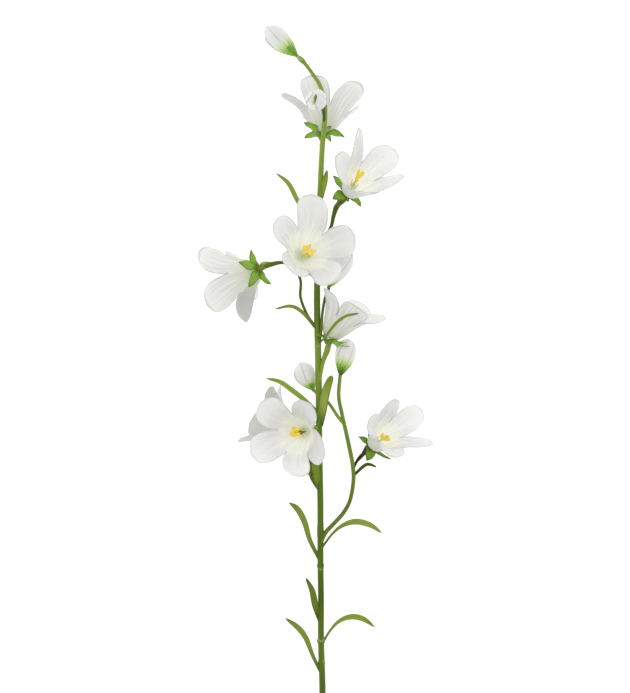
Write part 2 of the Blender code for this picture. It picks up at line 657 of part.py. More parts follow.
def make_side_branch(group, cutters, material):
    """The side branch, cut at its root to the round of the main stem."""
    body = tube("branch_body", BRANCH_ROUTE, BRANCH_STEPS, group)
    others = make_leaves(BRANCH_LEAVES, group)
    others.append(tube("twig", TWIG_ROUTE, TWIG_STEPS, group, 1))
    bloom = BLOOMS["bloom_lower_right"]
    others.append(make_stalk("branch_stalk", bloom, ovary_foot(bloom), bloom["ovary"][1], group))
    thing = fuse("side_branch", body, others, group)
    near_root = [(x, y, z, radius + GAP) for x, y, z, radius in STEM_ROUTE if -150 < y < -25]
    cutter = tube("stem_clearance", near_root, 9, cutters)
    cutter.hide_render = True
    cutter.display_type = "WIRE"
    cut = thing.modifiers.new("root", "BOOLEAN")
    cut.operation = "DIFFERENCE"
    cut.object = cutter
    cut.solver = "EXACT"
    thing = settle(thing, group)
    bpy.data.objects.remove(cutter, do_unlink=True)
    finish(thing, material)


def main():
    clear_scene()
    parts = new_collection("campanula_flower_stem")
    cutters = new_collection("cutters")
    white = make_material("petal_white", (0.86, 0.86, 0.84), 0.6)
    bud_white = make_material("bud_white", (0.84, 0.85, 0.80), 0.55)
    green = make_material("stem_green", (0.13, 0.26, 0.05), 0.5)
    sepal_green = make_material("sepal_green", (0.16, 0.36, 0.05), 0.5)
    yellow = make_material("stamen_yellow", (0.95, 0.62, 0.06), 0.5)
    make_main_stem(parts, green)
    make_side_branch(parts, cutters, green)
    for name, bloom in BLOOMS.items():
        make_calyx(name + "_calyx", bloom, parts, sepal_green)
        make_corolla(name + "_corolla", bloom, parts, white)
        make_stamens(name + "_stamens", bloom, parts, yellow)
    for name, bud in BUDS.items():
        make_bud_calyx(name + "_calyx", bud, parts, sepal_green)
        make_bud(name + "_petals", bud, parts, bud_white)


main()
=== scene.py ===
# %% [markdown]
# # A campanula flower stem, laid down
#
# The real thing is one long cut stem with eight open white bells, five buds, a thin side
# branch and narrow leaves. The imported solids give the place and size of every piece. This
# lesson dresses them: each solid is replaced by a finer piece of the same form, with veins,
# folds and colour changes. All pieces share one frame, in metres, with +Z up.

import random
from math import atan2, ceil, cos, exp, hypot, pi, radians, sin, sqrt, tau

import bpy
from mathutils import Matrix, Vector, noise


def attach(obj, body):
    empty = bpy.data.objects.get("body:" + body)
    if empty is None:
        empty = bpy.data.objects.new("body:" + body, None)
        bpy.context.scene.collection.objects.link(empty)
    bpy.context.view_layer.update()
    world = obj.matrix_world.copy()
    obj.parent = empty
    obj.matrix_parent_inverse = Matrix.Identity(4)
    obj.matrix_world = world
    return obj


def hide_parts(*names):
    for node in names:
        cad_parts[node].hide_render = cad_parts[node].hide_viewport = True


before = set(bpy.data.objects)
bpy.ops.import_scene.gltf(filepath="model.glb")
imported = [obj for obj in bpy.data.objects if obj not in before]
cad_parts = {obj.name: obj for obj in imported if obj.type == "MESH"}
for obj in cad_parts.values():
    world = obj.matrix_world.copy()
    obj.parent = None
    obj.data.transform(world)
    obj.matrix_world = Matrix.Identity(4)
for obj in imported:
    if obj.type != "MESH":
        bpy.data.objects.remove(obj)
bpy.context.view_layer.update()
MM = 0.001

# %% [markdown]
# ## Small tools for working by hand
#
# Blender's operators act on whatever is selected, so every step first deselects all and
# chooses its own piece. These helpers keep that habit in one place.


# %% Choose, copy, join, paint, hand over
SMOOTH_BELOW = radians(50)


def choose(*pieces):
    bpy.ops.object.select_all(action="DESELECT")
    for piece in pieces:
        piece.select_set(True)
    bpy.context.view_layer.objects.active = pieces[0]


def add(step, name, **settings):
    """Add one of Blender's own shapes, with nothing else selected."""
    bpy.ops.object.select_all(action="DESELECT")
    step(**settings)
    bpy.context.object.name = name
    return bpy.context.object


def blank_sheet(name, columns, rows):
    """A flat square grid from -1 to 1, to be copied and bent."""
    sheet = add(bpy.ops.mesh.primitive_grid_add, name, x_subdivisions=columns,
                y_subdivisions=rows, size=2)
    print(name, "points:", len(sheet.data.vertices))
    return sheet


def copy_of(piece, name):
    """A copy with a mesh of its own."""
    copy = piece.copy()
    copy.data = piece.data.copy()
    copy.name = name
    bpy.context.collection.objects.link(copy)
    return copy


def remove(*pieces):
    for piece in pieces:
        bpy.data.objects.remove(piece, do_unlink=True)


def bent_copy(blank, name, rule):
    """A copy of a blank sheet, its points moved by a rule of how far across and along they are."""
    sheet = copy_of(blank, name)
    for vert in sheet.data.vertices:
        vert.co = rule(vert.co.x, (vert.co.y + 1) / 2) * MM
    return sheet


def on_all_points(step, **settings):
    """Run one of Blender's mesh operators on all points of the active piece."""
    bpy.ops.object.mode_set(mode="EDIT")
    bpy.ops.mesh.select_all(action="SELECT")
    step(**settings)
    bpy.ops.object.mode_set(mode="OBJECT")


def thicken(sheet, thickness):
    """Give a sheet a wall, half of it on each side."""
    wall = sheet.modifiers.new("wall", "SOLIDIFY")
    wall.thickness = thickness * MM
    wall.offset = 0
    choose(sheet)
    bpy.ops.object.modifier_apply(modifier=wall.name)


def join(name, pieces):
    choose(*pieces)
    bpy.ops.object.join()
    whole = bpy.context.object
    whole.name = name
    whole.data.name = name
    return whole


def paint_points(piece, name, rule):
    """A number on each point of a mesh, from its place in millimetres and the way it looks."""
    layer = piece.data.attributes.get(name) or piece.data.attributes.new(name, "FLOAT", "POINT")
    for index, vert in enumerate(piece.data.vertices):
        layer.data[index].value = rule(vert.co / MM, vert.normal)


def paint_evenly(piece, **numbers):
    """The same number on every point of a mesh."""
    for name, number in numbers.items():
        paint_points(piece, name, lambda place, normal: number)


def hand_over(piece, material, node):
    """Smooth a piece, give it its finish and let it stand for its solid."""
    piece.data.materials.clear()
    piece.data.materials.append(material)
    choose(piece)
    bpy.ops.object.shade_smooth_by_angle(angle=SMOOTH_BELOW)
    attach(piece, "root")
    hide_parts(node)
    print(piece.name, "faces:", len(piece.data.polygons))


# %% [markdown]
# ## Shader sums as plain expressions
#
# A wrapped socket can be added to, multiplied or taken from 1 like a number, and each sum adds
# its Math node. Colours go through Mix nodes, because a Math node would turn them grey.


# %% A socket that calculates
def sum_of(operation, turned=False):
    def add_node(first, *others):
        terms = (*others, first) if turned else (first, *others)
        return first.recipe.node("Math", dict(enumerate(terms)), operation=operation)
    return add_node


class Value:
    def __init__(self, recipe, socket):
        self.recipe = recipe
        self.socket = socket

    __add__ = sum_of("ADD")
    __mul__ = sum_of("MULTIPLY")
    __sub__ = sum_of("SUBTRACT")
    __rsub__ = sum_of("SUBTRACT", turned=True)
    __truediv__ = sum_of("DIVIDE")
    __abs__ = sum_of("ABSOLUTE")
    most = sum_of("MAXIMUM")

    def between(self, low, high):
        """0 below low, 1 above high, smooth between them."""
        return self.recipe.node("MapRange", {0: self, 1: low, 2: high, 3: 0, 4: 1},
                                interpolation_type="SMOOTHSTEP")


class Recipe:
    """A material in the making."""

    def __init__(self, name, **constants):
        self.material = bpy.data.materials.new(name)
        self.material.use_nodes = True
        self.material.cycles.emission_sampling = "NONE"
        self.tree = self.material.node_tree
        self.feed_shader(**constants)

    def feed(self, socket, value):
        if isinstance(value, Value):
            self.tree.links.new(value.socket, socket)
        else:
            socket.default_value = value

    def feed_shader(self, **sockets):
        inputs = self.tree.nodes["Principled BSDF"].inputs
        for name, value in sockets.items():
            self.feed(inputs[name.replace("_", " ")], value)

    def node(self, kind, sockets, output=0, **settings):
        made = self.tree.nodes.new("ShaderNode" + kind)
        for setting, value in settings.items():
            setattr(made, setting, value)
        for socket, value in sockets.items():
            self.feed(made.inputs[socket], value)
        return Value(self, made.outputs[output])

    def sheet_place(self):
        """Across and along a sheet, each from 0 to 1, from the piece's own UV map."""
        split = self.node("SeparateXYZ", {0: self.node("UVMap", {})})
        return split, Value(self, split.socket.node.outputs[1])

    def mix(self, factor, first, second):
        return self.node("Mix", {0: factor, 6: first, 7: second}, 2, data_type="RGBA")

    def coats(self, colour, *coats):
        """A first colour with others laid over it, each as strong as its factor says."""
        for factor, coat in coats:
            colour = self.mix(factor, colour, coat)
        return colour

    def speckle(self, scale, detail=2):
        place = self.node("TexCoord", {}, 3)
        return self.node("TexNoise", {"Vector": place, "Scale": scale, "Detail": detail})

    def streaks(self, across, along, fine, length):
        """Uneven lines that run along a sheet: a noise that is stretched that way."""
        place = self.node("CombineXYZ", {0: across * fine, 1: along * length, 2: 0})
        return self.node("TexNoise", {"Vector": place, "Scale": 1, "Detail": 3})

    def attribute(self, name):
        return self.node("Attribute", {}, 2, attribute_name=name)

    def finish(self, relief, depth, **sockets):
        """Feed the shader a relief of a depth in metres and its other sockets. The material."""
        bump = self.node("Bump", {"Height": relief, "Strength": 1, "Distance": depth})
        self.feed_shader(Normal=bump, **sockets)
        print(self.material.name, "nodes:", len(self.tree.nodes))
        return self.material


def paint(red, green, blue):
    """A colour as read off a screen, turned to the light that it stands for."""
    channels = []
    for value in (red, green, blue):
        value /= 255
        channels.append(value / 12.92 if value <= 0.04045 else ((value + 0.055) / 1.055) ** 2.4)
    return (*channels, 1)

# %% [markdown]
# ## The finish of the petals
#
# A petal is nearly white, with soft lines that run from a pale yellow-green throat: veins, with
# painted shade along their shallow grooves. Its rim is slightly greyer, a painted shade where the
# petal turns edge-on. Its outer side is greyer and shows its veins more. Light passes through a
# real petal, so this one scatters it, and it also glows a little, a painted glow that is stronger
# on its inner side towards the throat. The lines follow the petal, so they read its UV map. Which
# side a point lies on is painted on the mesh as "outer", and how much painted shade each petal
# gets, more on petals that lie in shadow, is stored on it too.

# %% Petal white
petal = Recipe("petal_white", Roughness=0.6, Sheen_Weight=0.1, Subsurface_Weight=0.75,
               Subsurface_Radius=(1, 1, 1), Subsurface_Scale=0.004,
               Emission_Strength=1)
across, along = petal.sheet_place()
outer = petal.attribute("outer")
# Soft lines from the throat: veins, with painted shade along their grooves
lines = petal.streaks(across, along, 22, 1.3).between(0.42, 0.66)
lines = lines * (1 - along.between(0.45, 0.9))
veins = petal.streaks(across, along, 34, 0.9).between(0.45, 0.62)
veins = veins * (1 - along.between(0.75, 1))
# A painted shade along the rim, where the petal turns edge-on
rim_shade = abs(across - 0.5).between(0.41, 0.5).most(along.between(0.93, 1))
rim_shade = rim_shade * along.between(0.35, 0.42)
throat = 1 - along.between(0, 0.46)
body = petal.coats(
    paint(229, 230, 226),
    (petal.speckle(70), paint(235, 236, 233)),
    (lines * 0.4, paint(204, 204, 194)),
    (outer * (veins * 0.5 + 0.3), paint(190, 191, 186)),
    # Each petal's painted shade, stronger on petals that lie in shadow
    (petal.attribute("grey"), paint(154, 155, 150)),
    (rim_shade * (outer * 0.4 + 0.5), paint(160, 161, 160)),
    (throat * 0.7, paint(208, 212, 186)))
# A painted glow, stronger on the inner side towards the throat
glow = petal.mix((1 - outer) * (1 - along.between(0, 0.6)),
                 paint(70, 70, 68), paint(146, 146, 138))
relief = lines * -0.8 + veins * -0.4 + petal.speckle(220) * 0.3
petal_white = petal.finish(relief, 0.00025, Base_Color=body, Emission_Color=glow)

# %% [markdown]
# ## The finish of the buds
#
# A bud is white, and its cup is green: dark at the neck, bright above it, with streaks that
# climb into the white and fade there. One recipe serves both pieces, so the green passes from
# one to the other without a step. How high a point is from the neck is painted on the mesh as
# "climb", how far the green reaches as "green" and how dark the neck is as "deep".

# %% Bud white and green
bud = Recipe("bud_white", Roughness=0.5, Sheen_Weight=0.08, Subsurface_Weight=0.3,
             Subsurface_Radius=(1, 1, 1), Subsurface_Scale=0.002,
             Emission_Strength=0.15)
across, along = bud.sheet_place()
height = bud.attribute("climb") / bud.attribute("green")
streaks = bud.streaks(across, along, 15, 0.7).between(0.36, 0.64)
fade = height + streaks * 0.26
petal_part = fade.between(0.8, 1.24)
neck_part = (1 - height.between(0, 0.6)) * bud.attribute("deep")
# A painted shade along the edges of the bud's petals
rim_shade = abs(across - 0.5).between(0.44, 0.5) * petal_part
white = bud.mix(bud.speckle(60), paint(232, 232, 230), paint(242, 242, 240))
body = bud.coats(
    paint(104, 160, 14),
    (streaks, paint(162, 212, 74)),
    (neck_part, paint(72, 100, 8)),
    (fade.between(0.55, 0.95), paint(208, 226, 150)),
    (petal_part, white),
    (rim_shade * 0.8, paint(170, 170, 168)))
relief = streaks * -0.4 + bud.speckle(200) * 0.3
# The bud glows faintly in its own colours: a painted light
bud_white = bud.finish(relief, 0.0002, Base_Color=body, Emission_Color=body)

# %% [markdown]
# ## The finishes of the green pieces
#
# The stem is mid green with fine lengthwise ridges, which follow its UV map. It is lighter towards
# its top, and at some joints it has pale spots that are partly painted highlights. It carries
# painted shade underneath. Only the mesh knows where along the stem a point is, so these tones are
# painted on it when the stem is made.

# %% Stem green
stem = Recipe("stem_green", Specular_IOR_Level=0.15)
across, along = stem.sheet_place()
ridges = stem.streaks(across, along, 9, 60)
mottle = stem.speckle(90, 4)
body = stem.coats(
    paint(88, 114, 10),
    (stem.attribute("light"), paint(162, 190, 76)),
    (ridges.between(0.4, 0.7) * 0.55, paint(62, 84, 6)),
    ((1 - ridges).between(0.45, 0.75) * 0.3, paint(172, 196, 88)),
    # Painted shade on the underside
    (stem.attribute("under").between(0.2, 0.9) * 0.6, paint(50, 66, 6)),
    (stem.attribute("dark"), paint(42, 48, 2)),
    # Pale spots at joints and knobs: partly their own paler colour, partly painted highlights
    (stem.attribute("joint_pale_and_highlight") * 0.7, paint(196, 212, 140)))
relief = ridges * 0.9 + mottle * 0.5
stem_green = stem.finish(relief, 0.0003, Base_Color=body, Roughness=mottle * 0.2 + 0.34)

# %% [markdown]
# Leaves and sepals are thin and folded along the middle. Both carry a paler mid-rib, darker
# edges and a slow change from a dark root to a lighter blade, all read from the UV map. The
# ovary under the sepals is olive, and it is told from them by the painted "ovary".


# %% Leaf and sepal greens
def blade_green(name, root, blade, tip, rib):
    green = Recipe(name, Specular_IOR_Level=0.15)
    across, along = green.sheet_place()
    off_middle = abs(across - 0.5)
    mid_rib = 1 - off_middle.between(0.02, 0.1)
    lines = green.streaks(across, along, 9, 2.5)
    mottle = green.speckle(110, 3)
    olive = green.coats(
        paint(160, 170, 80),
        (green.attribute("dark"), paint(44, 36, 4)),
        (lines.between(0.35, 0.65) * 0.4, paint(64, 74, 14)))
    body = green.coats(
        root,
        (along.between(0.02, 0.4), blade),
        (along.between(0.7, 1) * 0.7, tip),
        (lines.between(0.4, 0.7) * 0.25, root),
        (off_middle.between(0.34, 0.5) * 0.6, root),
        (mid_rib * 0.4, rib),
        (green.attribute("pale"), paint(190, 212, 112)),
        (green.attribute("shade"), paint(40, 48, 6)),
        (green.attribute("ovary"), olive))
    relief = mid_rib * -0.6 + lines * 0.5 + mottle * 0.4
    return green.finish(relief, 0.0003, Base_Color=body, Roughness=mottle * 0.2 + 0.36)


leaf_green = blade_green("leaf_green", root=paint(76, 98, 8), blade=paint(156, 184, 52),
                         tip=paint(136, 162, 42), rib=paint(166, 190, 80))
sepal_green = blade_green("sepal_green", root=paint(76, 112, 16), blade=paint(156, 204, 72),
                          tip=paint(76, 112, 20), rib=paint(190, 222, 120))

# %% [markdown]
# The stamens are warm yellow with a rough, powdery skin. The dome in their middle is yellow-green,
# with painted shade towards its foot deep in the throat, and the heart of a bud is yellow-green to
# dark olive. All of them glow faintly in their own colours, a painted light.

# %% Stamen yellow and dome green
yellow = Recipe("stamen_yellow", Roughness=0.6, Subsurface_Weight=0.4,
                Subsurface_Radius=(1, 0.8, 0.3), Subsurface_Scale=0.001,
                Emission_Strength=0.15)
powder = yellow.speckle(900, 3)
body = yellow.coats(
    paint(255, 208, 40),
    (powder.between(0.3, 0.7), paint(255, 238, 112)),
    (yellow.attribute("green"), paint(214, 216, 150)),
    (yellow.attribute("dark"), paint(122, 122, 26)))
# The stamens, the dome and the bud's heart glow faintly in their own colours: a painted light
stamen_yellow = yellow.finish(powder, 0.0003, Base_Color=body, Emission_Color=body)

# %% [markdown]
# ## The measures of the flower stem
#
# In millimetres: the routes of the stem and branch, and each bloom's place, the way it faces and
# how far it opens. The solids were made from the same named values. Some stations, radii and sepals
# were then set again, and tones and finer forms were added.

# %% Measures
PETALS = 5
CORE_RADIUS = 3
CUP_LENGTH = 19
CUP_LEAN = 12
LOBE_FLARE = 26
CUP_ROUNDING = 42
CUP_ROUNDING_LENGTH = 6.5
LOBE_LENGTH = 24
FLARE_START = 0.8
LOBE_LEVELLING = 3
LOBE_TWISTING = 1.6
LOBE_WIDENING = 6.8
NARROW_WIDENING = 5
NARROW_OPENING = 32
LOBE_SQUARENESS = 2.4
LOBE_FLATTENING = 1.6
FLOOR_GAP = 0.65
STALK_SQUARE = 4
BUD_STALK_RADIUS = 1.1
BUD_NECK = 1.2
BUD_BELLY = 0.62
BUD_FULLNESS = 0.85
BUD_SHOULDER = 2.2
BUD_BLUNTNESS = 2.6
BUD_SPIRAL = 0.5
PETAL_WALL = 0.5
BLADE_WALL = 0.6
BUD_WALL = 0.3

# Stations of a line: x, y, z and radius, or half the width of a leaf
STEM_ROUTE = [
    (6, -270, 2.6, 2.3), (5.8, -210, 11, 2.3), (4.7, -171, 17, 2.2), (4.7, -142, 22, 2.2),
    (4.3, -113, 26.5, 2.2), (4.2, -70, 31.5, 2.2), (3.4, -30, 35, 2.25), (3.2, 2, 37.5, 2.35),
    (2.5, 38, 40, 2.35), (1.8, 74, 42, 2.3), (2.5, 110, 43.5, 2.15), (3.9, 149, 44.8, 2),
    (5.4, 181, 47, 1.9), (6.9, 197, 48.6, 1.8), (7.4, 212, 50, 1.6), (4.2, 226, 50.5, 1.4),
    (-1.2, 235, 50.5, 1.3), (-7.4, 243.2, 50, 1.3), (-11.6, 247.2, 50, 1.3),
]
# y of each joint's middle, how far it stands out and its length
STEM_JOINTS = [
    (-187.4, 0.45, 2.2), (-171.8, 0.85, 3), (-117, 0.4, 2.4), (-92, 0.25, 9), (40.8, 0.3, 0.9),
    (245.2, 0.6, 3.6),
]
# y and x of each pale spot, partly a painted highlight, how wide it is and its length
STEM_SPOTS = [
    (-187, 7.2, 1.2, 1.6), (-171, 2.4, 1, 2), (-171, 7, 1, 1.8), (-172, 4.6, 1.6, 1.2),
    (-119.6, 4.2, 1, 1.6), (40.8, 2.6, 3, 1), (245.6, -10.5, 2, 2.6),
]
BRANCH_ROUTE = [
    (4.6, -100, 28.5, 1.6), (8, -93, 29, 1.6), (14, -86.5, 29.5, 1.5), (20.8, -78.8, 30, 1.5),
    (25.6, -69.5, 31, 1.4), (28, -55.3, 32.5, 1.45), (27.3, -43.8, 34, 1.5), (24.8, -30.8, 36, 1.5),
    (22.3, -19.3, 36.5, 1.45), (19.8, -8, 36, 1.4), (17.4, 5, 35.5, 1.35), (18.4, 20, 35, 1.3),
]
TWIG_ROUTE = [
    (21.2, -15, 36.3, 1.2), (16.5, -9.2, 36, 1.2), (9.9, 0.5, 33.5, 1.1), (3.8, 5, 30.8, 0.9),
    (-0.7, 9.4, 30.5, 1.2),
]
# Petals: length past the cup, lean, sway, twist. Sepals: turn, reach, lift, breadth
BLOOMS = dict(
    bloom_top=dict(
        base=(5.6, 192.9, 40), facing=(0.07, 0.83, -0.55), turn=-13, open=40,
        petals=[(22.5, 5, -1, 1), (25, 0, 2, 2), (24, -15, 5, 0), (21.2, -10, 3, -2),
                (25.2, 0, -3, -19)],
        sepals=[(50, 9, 7), (100, 16, 3.5), (150, 10.5, 4.5), (240, 16, 7), (306, 15.5, 8)],
        full=[0, 0, 0, 0, 0], grey=[0.2, 0.1, 0.2, 0.2, 0.7], dark=0.2, tone=0.35, arch=2.2,
        ovary=(6, 1.2),
        stalk=[(6, 180, 46)],
    ),
    bloom_upper_right=dict(
        base=(23.7, 150.7, 47), facing=(0.51, 0.47, 0.72), turn=18, open=34,
        petals=[(28.7, 0, -9, 22), (26.4, 8, -16, -34), (25.4, -14, -7, 19), (23.9, -19, 15, -6),
                (25.9, 17, -4, -4)],
        sepals=[(27, 16, 3.5), (108, 13.5, 2, 1.35), (170, 7, 3), (228, 14, 1.5), (306, 13, 2)],
        full=[0.4, 0.6, 0.6, 0.3, 0.6], grey=[0.05, 0, 0, 0, 0], square={0: 1.9, 3: 1.7}, dark=0.5,
        tone=0.65, stamens=(0, 4.4, 0.4, 1.25), shade=0.1, ovary=(11, 2), girth=[1.1, 1.25, 1.5],
        bend=(0, -1.9, 0),
        stalk=[(3.2, 114, 43.6), (11.2, 125, 41.2), (13.6, 134, 38.7)],
    ),
    bloom_centre=dict(
        base=(-9.4, 105, 54.5), facing=(0.34, 0.31, 0.89), turn=-11, open=45,
        petals=[(25.7, 16, 9, -34), (23.9, -4, 9, 11), (24, -12, 10, 11), (22.8, -7, -11, 9),
                (21.7, -1, 4, 18)],
        sepals=[(29, 14, 0), (101, 14, 0), (173, 12, 0), (245, 10, 2), (317, 14, 0)],
        full=[0.3, 0.5, 0.5, 0.5, 0.5], grey=[0.08, 0, 0, 0, 0.3], dark=0.3, tone=0.4,
        stamens=(0.7, 0, 1.45, 1), dome=(4.4, -0.8), shade=0.15, ovary=(8, 1.2),
        stalk=[(2.2, 88, 42.6), (-5, 94, 39.5)],
    ),
    bloom_left=dict(
        base=(-40.6, 96.1, 42.5), facing=(-0.68, -0.33, -0.66), turn=-117, open=40,
        petals=[(23.9, -3, -7, 10), (25.3, 7, 6, 0), (23.9, -9, 10, 0), (22.2, -3, -5, 1),
                (23, 0, -9, 1)],
        sepals=[(68, 12, 2), (156, 14, 1), (219, 16, 8), (291, 16, 7), (339, 14.5, 1.5)],
        grey=[0.15, 0, 0, 0, 1], square={4: 1.5}, dark=0.25, tone=0.15, slim=0.75, ovary=(9, 1.8),
        girth=[1, 1, 1, 1, 1.1, 1.15], bend=(0, -1, 0),
        stalk=[(1.2, 54, 41), (-5.5, 64, 40.5), (-10, 76, 40.5), (-10, 88, 41.5), (-15, 97, 46.5),
               (-22.5, 100.5, 51)],
    ),
    bloom_middle_right=dict(
        base=(10.1, 46.8, 41), facing=(0.54, 0.84, 0), turn=-36, open=36,
        petals=[(20, 10, -15, 0), (19.4, 11, 17, -2), (20.9, 12, -5, -3), (22.7, -5, -3, 19),
                (23.7, -1, 1, 2)],
        sepals=[(28, 10, 0, 1.5), (88, 10, 2, 2), (150, 12, 7, 1.6), (212, 13, 1.5, 1.5),
                (275, 8.5, 2, 2.2), (163, 13, 9, 0.35), (172, 16, 7.5, 0.35)],
        grey=[0, 0, 0.05, 0, 0], dark=0, tone=0, ovary=(5.5, 2.1), bend=(2.9, -0.6, 0), collar=0.75,
        girth=[1, 1.2, 1.6], light=2,
        stalk=[(3, 12, 38.5), (4.5, 21, 40.5), (6.3, 30.5, 41)],
    ),
    bloom_lower_front=dict(
        base=(-6.6, -19.8, 52), facing=(-0.41, -0.15, 0.9), turn=38, open=40,
        petals=[(24.5, 4, -3, 16), (24.1, -3, 1, 1), (20.5, -6, 24, 10), (24.6, -1, -8, 0),
                (23.8, 5, -7, -9)],
        sepals=[(0, 12, 0), (72, 12, 0), (144, 12, 0), (216, 12, 0), (288, 11, 2)],
        grey=[0.05, 0, 0, 0.45, 0.4], dark=0.2, tone=0.4, stamens=(-1.5, 1.4, 1.15, 1),
        dome=(-3.2, 0), shade=1, ovary=(8, 1.2), girth=[1.3, 2, 1.9, 1.2],
        stalk=[(3.8, -63, 32), (-1.5, -53, 34), (-4, -42, 36.5), (-5.5, -29, 38.5)],
    ),
    bloom_lower_back=dict(
        base=(-11.6, -24.3, 32.8), facing=(-0.85, 0.47, -0.23), turn=42, open=33,
        petals=[(24.7, 10, 0, 9), (23.6, -4, 1, -8), (23.7, -11, 1, 3), (20.4, 12, 4, 5),
                (23.1, 15, -9, 4)],
        sepals=[(60, 8, 0), (132, 8, 0), (204, 8, 0), (276, 8, 0), (348, 8, 0)],
        grey=[0.7, 0.5, 0.65, 0.7, 0.9], dark=0.5, tone=0.4, ovary=(8, 1.2),
        stalk=[(3.4, -44, 33.5), (0, -34, 34)],
    ),
    bloom_lower_right=dict(
        base=(41.4, -30, 38), facing=(0.59, 0.43, 0.68), turn=6, open=31,
        petals=[(21.8, -23, -1, 2), (23.3, 17, 3, -31), (24.6, 15, -2, 25), (27.4, -7, 3, -12),
                (24.1, 0, 2, 2)],
        sepals=[(48, 11.5, 2.5), (146, 13, 2, 1.4), (215, 16, 9, 0.5), (280, 11, 1), (345, 11, 2)],
        full=[0.5, 0.5, 0.5, 0.4, 0.5], grey=[0.2, 0, 0, 0, 0], square={3: 1.9}, dark=0.9,
        tone=0.95, stamens=(1, -0.8, 0.85, 1), shade=0, ovary=(11, 1.5), bend=(0.6, -1.4, 0),
        stalk=[(28, -47, 32.5), (30.2, -42.2, 29.8)],
    ),
)
BUDS = dict(
    bud_tip=dict(
        base=(-11.8, 247.4, 50), facing=(-0.74, 0.67, 0), length=30.5, radius=7.2, green=0.52,
        deep=0.35, calyx=10,
    ),
    bud_below_tip=dict(
        base=(4.9, 210.4, 56), facing=(-0.35, 0.5, 0.79), length=16.8, radius=7.1, green=0.3,
        calyx=4.5, mouth=0.45,
        stalk=[(7.3, 199, 48.8), (6.9, 203, 50.5)],
    ),
    bud_opening=dict(
        base=(9.6, 82.2, 41), facing=(0.5, 0.86, 0.08), length=31, radius=6.6, green=0.3, calyx=7,
        mouth=0.45, bend=(0.8, 0, 1.5), dark=0.15,
        stalk=[(3.6, 44, 42.5), (4.8, 52.5, 44), (5.5, 63, 44.5), (7, 73, 43.5)],
    ),
    bud_branch=dict(
        base=(18.3, 19.1, 35), facing=(0.23, 0.97, 0), length=27, radius=7, green=0.54, deep=1.5,
        calyx=9,
    ),
    bud_left=dict(
        base=(-0.4, 8.8, 30.5), facing=(-0.48, 0.88, 0), length=22, radius=7.2, green=0.4, deep=0.3,
        calyx=6,
    ),
)
# How pale and how shaded each leaf is, and its stations
STEM_LEAVES = dict(
    upper_left=(0.25, 0.05, [(3, 128, 44, 1.2), (-3.9, 136.3, 46, 1.4), (-11.2, 143.5, 47, 1.5),
        (-18.5, 157, 47.5, 1.5), (-27.3, 164.4, 46.5, 0.4)]),
    sheath=(0.1, 0.1, [(3.6, 143, 45, 1.6), (5.4, 152, 46, 2.2), (7.6, 160, 46.5, 1.9),
        (9, 166.5, 46.5, 0.6)]),
    mid_left=(0.15, 0.2, [(1.8, 53, 41, 1.1), (-7.9, 64.5, 43.5, 1.2), (-16.8, 69.5, 44.5, 1.1),
        (-27.8, 67.6, 44, 0.4)]),
    mid_right=(0.1, 0.1, [(3.4, 43, 40.5, 0.5), (7.8, 47.6, 53.5, 0.7), (15.2, 57.2, 61.5, 1),
        (22.6, 62.3, 66, 0.9), (31.2, 64.1, 70, 0.5)]),
    lower_left=(0.28, 0, [(3.4, -8, 37, 1.4), (-7.1, 2.3, 42, 1.6), (-16.1, 9.5, 44.5, 1.7),
        (-24.8, 15.5, 45.5, 1.5), (-34.4, 17.9, 45, 0.4)]),
    stalk=(0.1, 0.1, [(-0.5, -52, 35, 1.1), (-3.6, -49.6, 36, 1.6), (-7.2, -51.5, 36.5, 0.6)]),
    wrap=(0.1, 0.2, [(3.4, -63, 33.5, 0.8), (1.9, -55, 34.5, 2.2), (0.9, -48, 35.5, 3.2),
        (0.6, -40, 36.5, 2.6)]),
    broad=(0.1, 0.1, [(4, -16, 37, 2), (5.5, -6, 39.5, 3), (6.8, 3, 40.5, 3.2), (9.3, 12, 41, 2.8),
        (12.6, 20, 41.5, 1.8)]),
    base_left=(0.18, 0.2, [(4.3, -114, 26.2, 1.2), (-3.2, -98.7, 29, 1.5), (-7.1, -85.6, 30.5, 2),
        (-12.1, -76.2, 31, 2), (-18.3, -71.5, 31, 0.7)]),
    base_right=(0.28, 0.1, [(4.5, -105, 27.5, 0.8), (13, -94, 26.5, 0.8), (20.7, -87.9, 25, 1.4),
        (30, -85.6, 20, 2), (40.3, -88.5, 11, 1.8), (48.6, -94.6, 0.7, 0.5)]),
    foot_upper=(0.08, 0.45, [(4, -157, 19.5, 1.6), (0.6, -145.9, 23, 2.2), (-1.8, -134.8, 25, 2),
        (-6.1, -126, 25.5, 0.6)]),
    foot_left=(0.18, 0.2, [(5, -196, 13.3, 1), (-1.3, -182.4, 15.5, 1.3), (-6.3, -169.7, 17, 1.8),
        (-12.3, -161.9, 18, 1.9), (-20.9, -155.5, 18.5, 0.7)]),
    foot_right=(0.25, 0.1, [(4.9, -175, 16.5, 0.8), (11.4, -164.2, 18.5, 0.8),
        (18.2, -157.2, 19.5, 1.3), (26.7, -154.2, 20, 1.9), (35.6, -156, 20, 1.8),
        (43.4, -161.8, 19.5, 0.5)]),
)
BRANCH_LEAVES = dict(
    branch=(0, 0.7, [(28, -52, 33, 0.9), (35.9, -44.8, 32, 1.1), (39.9, -44.1, 32, 1),
        (44.5, -45.9, 31.5, 0.4)]),
)
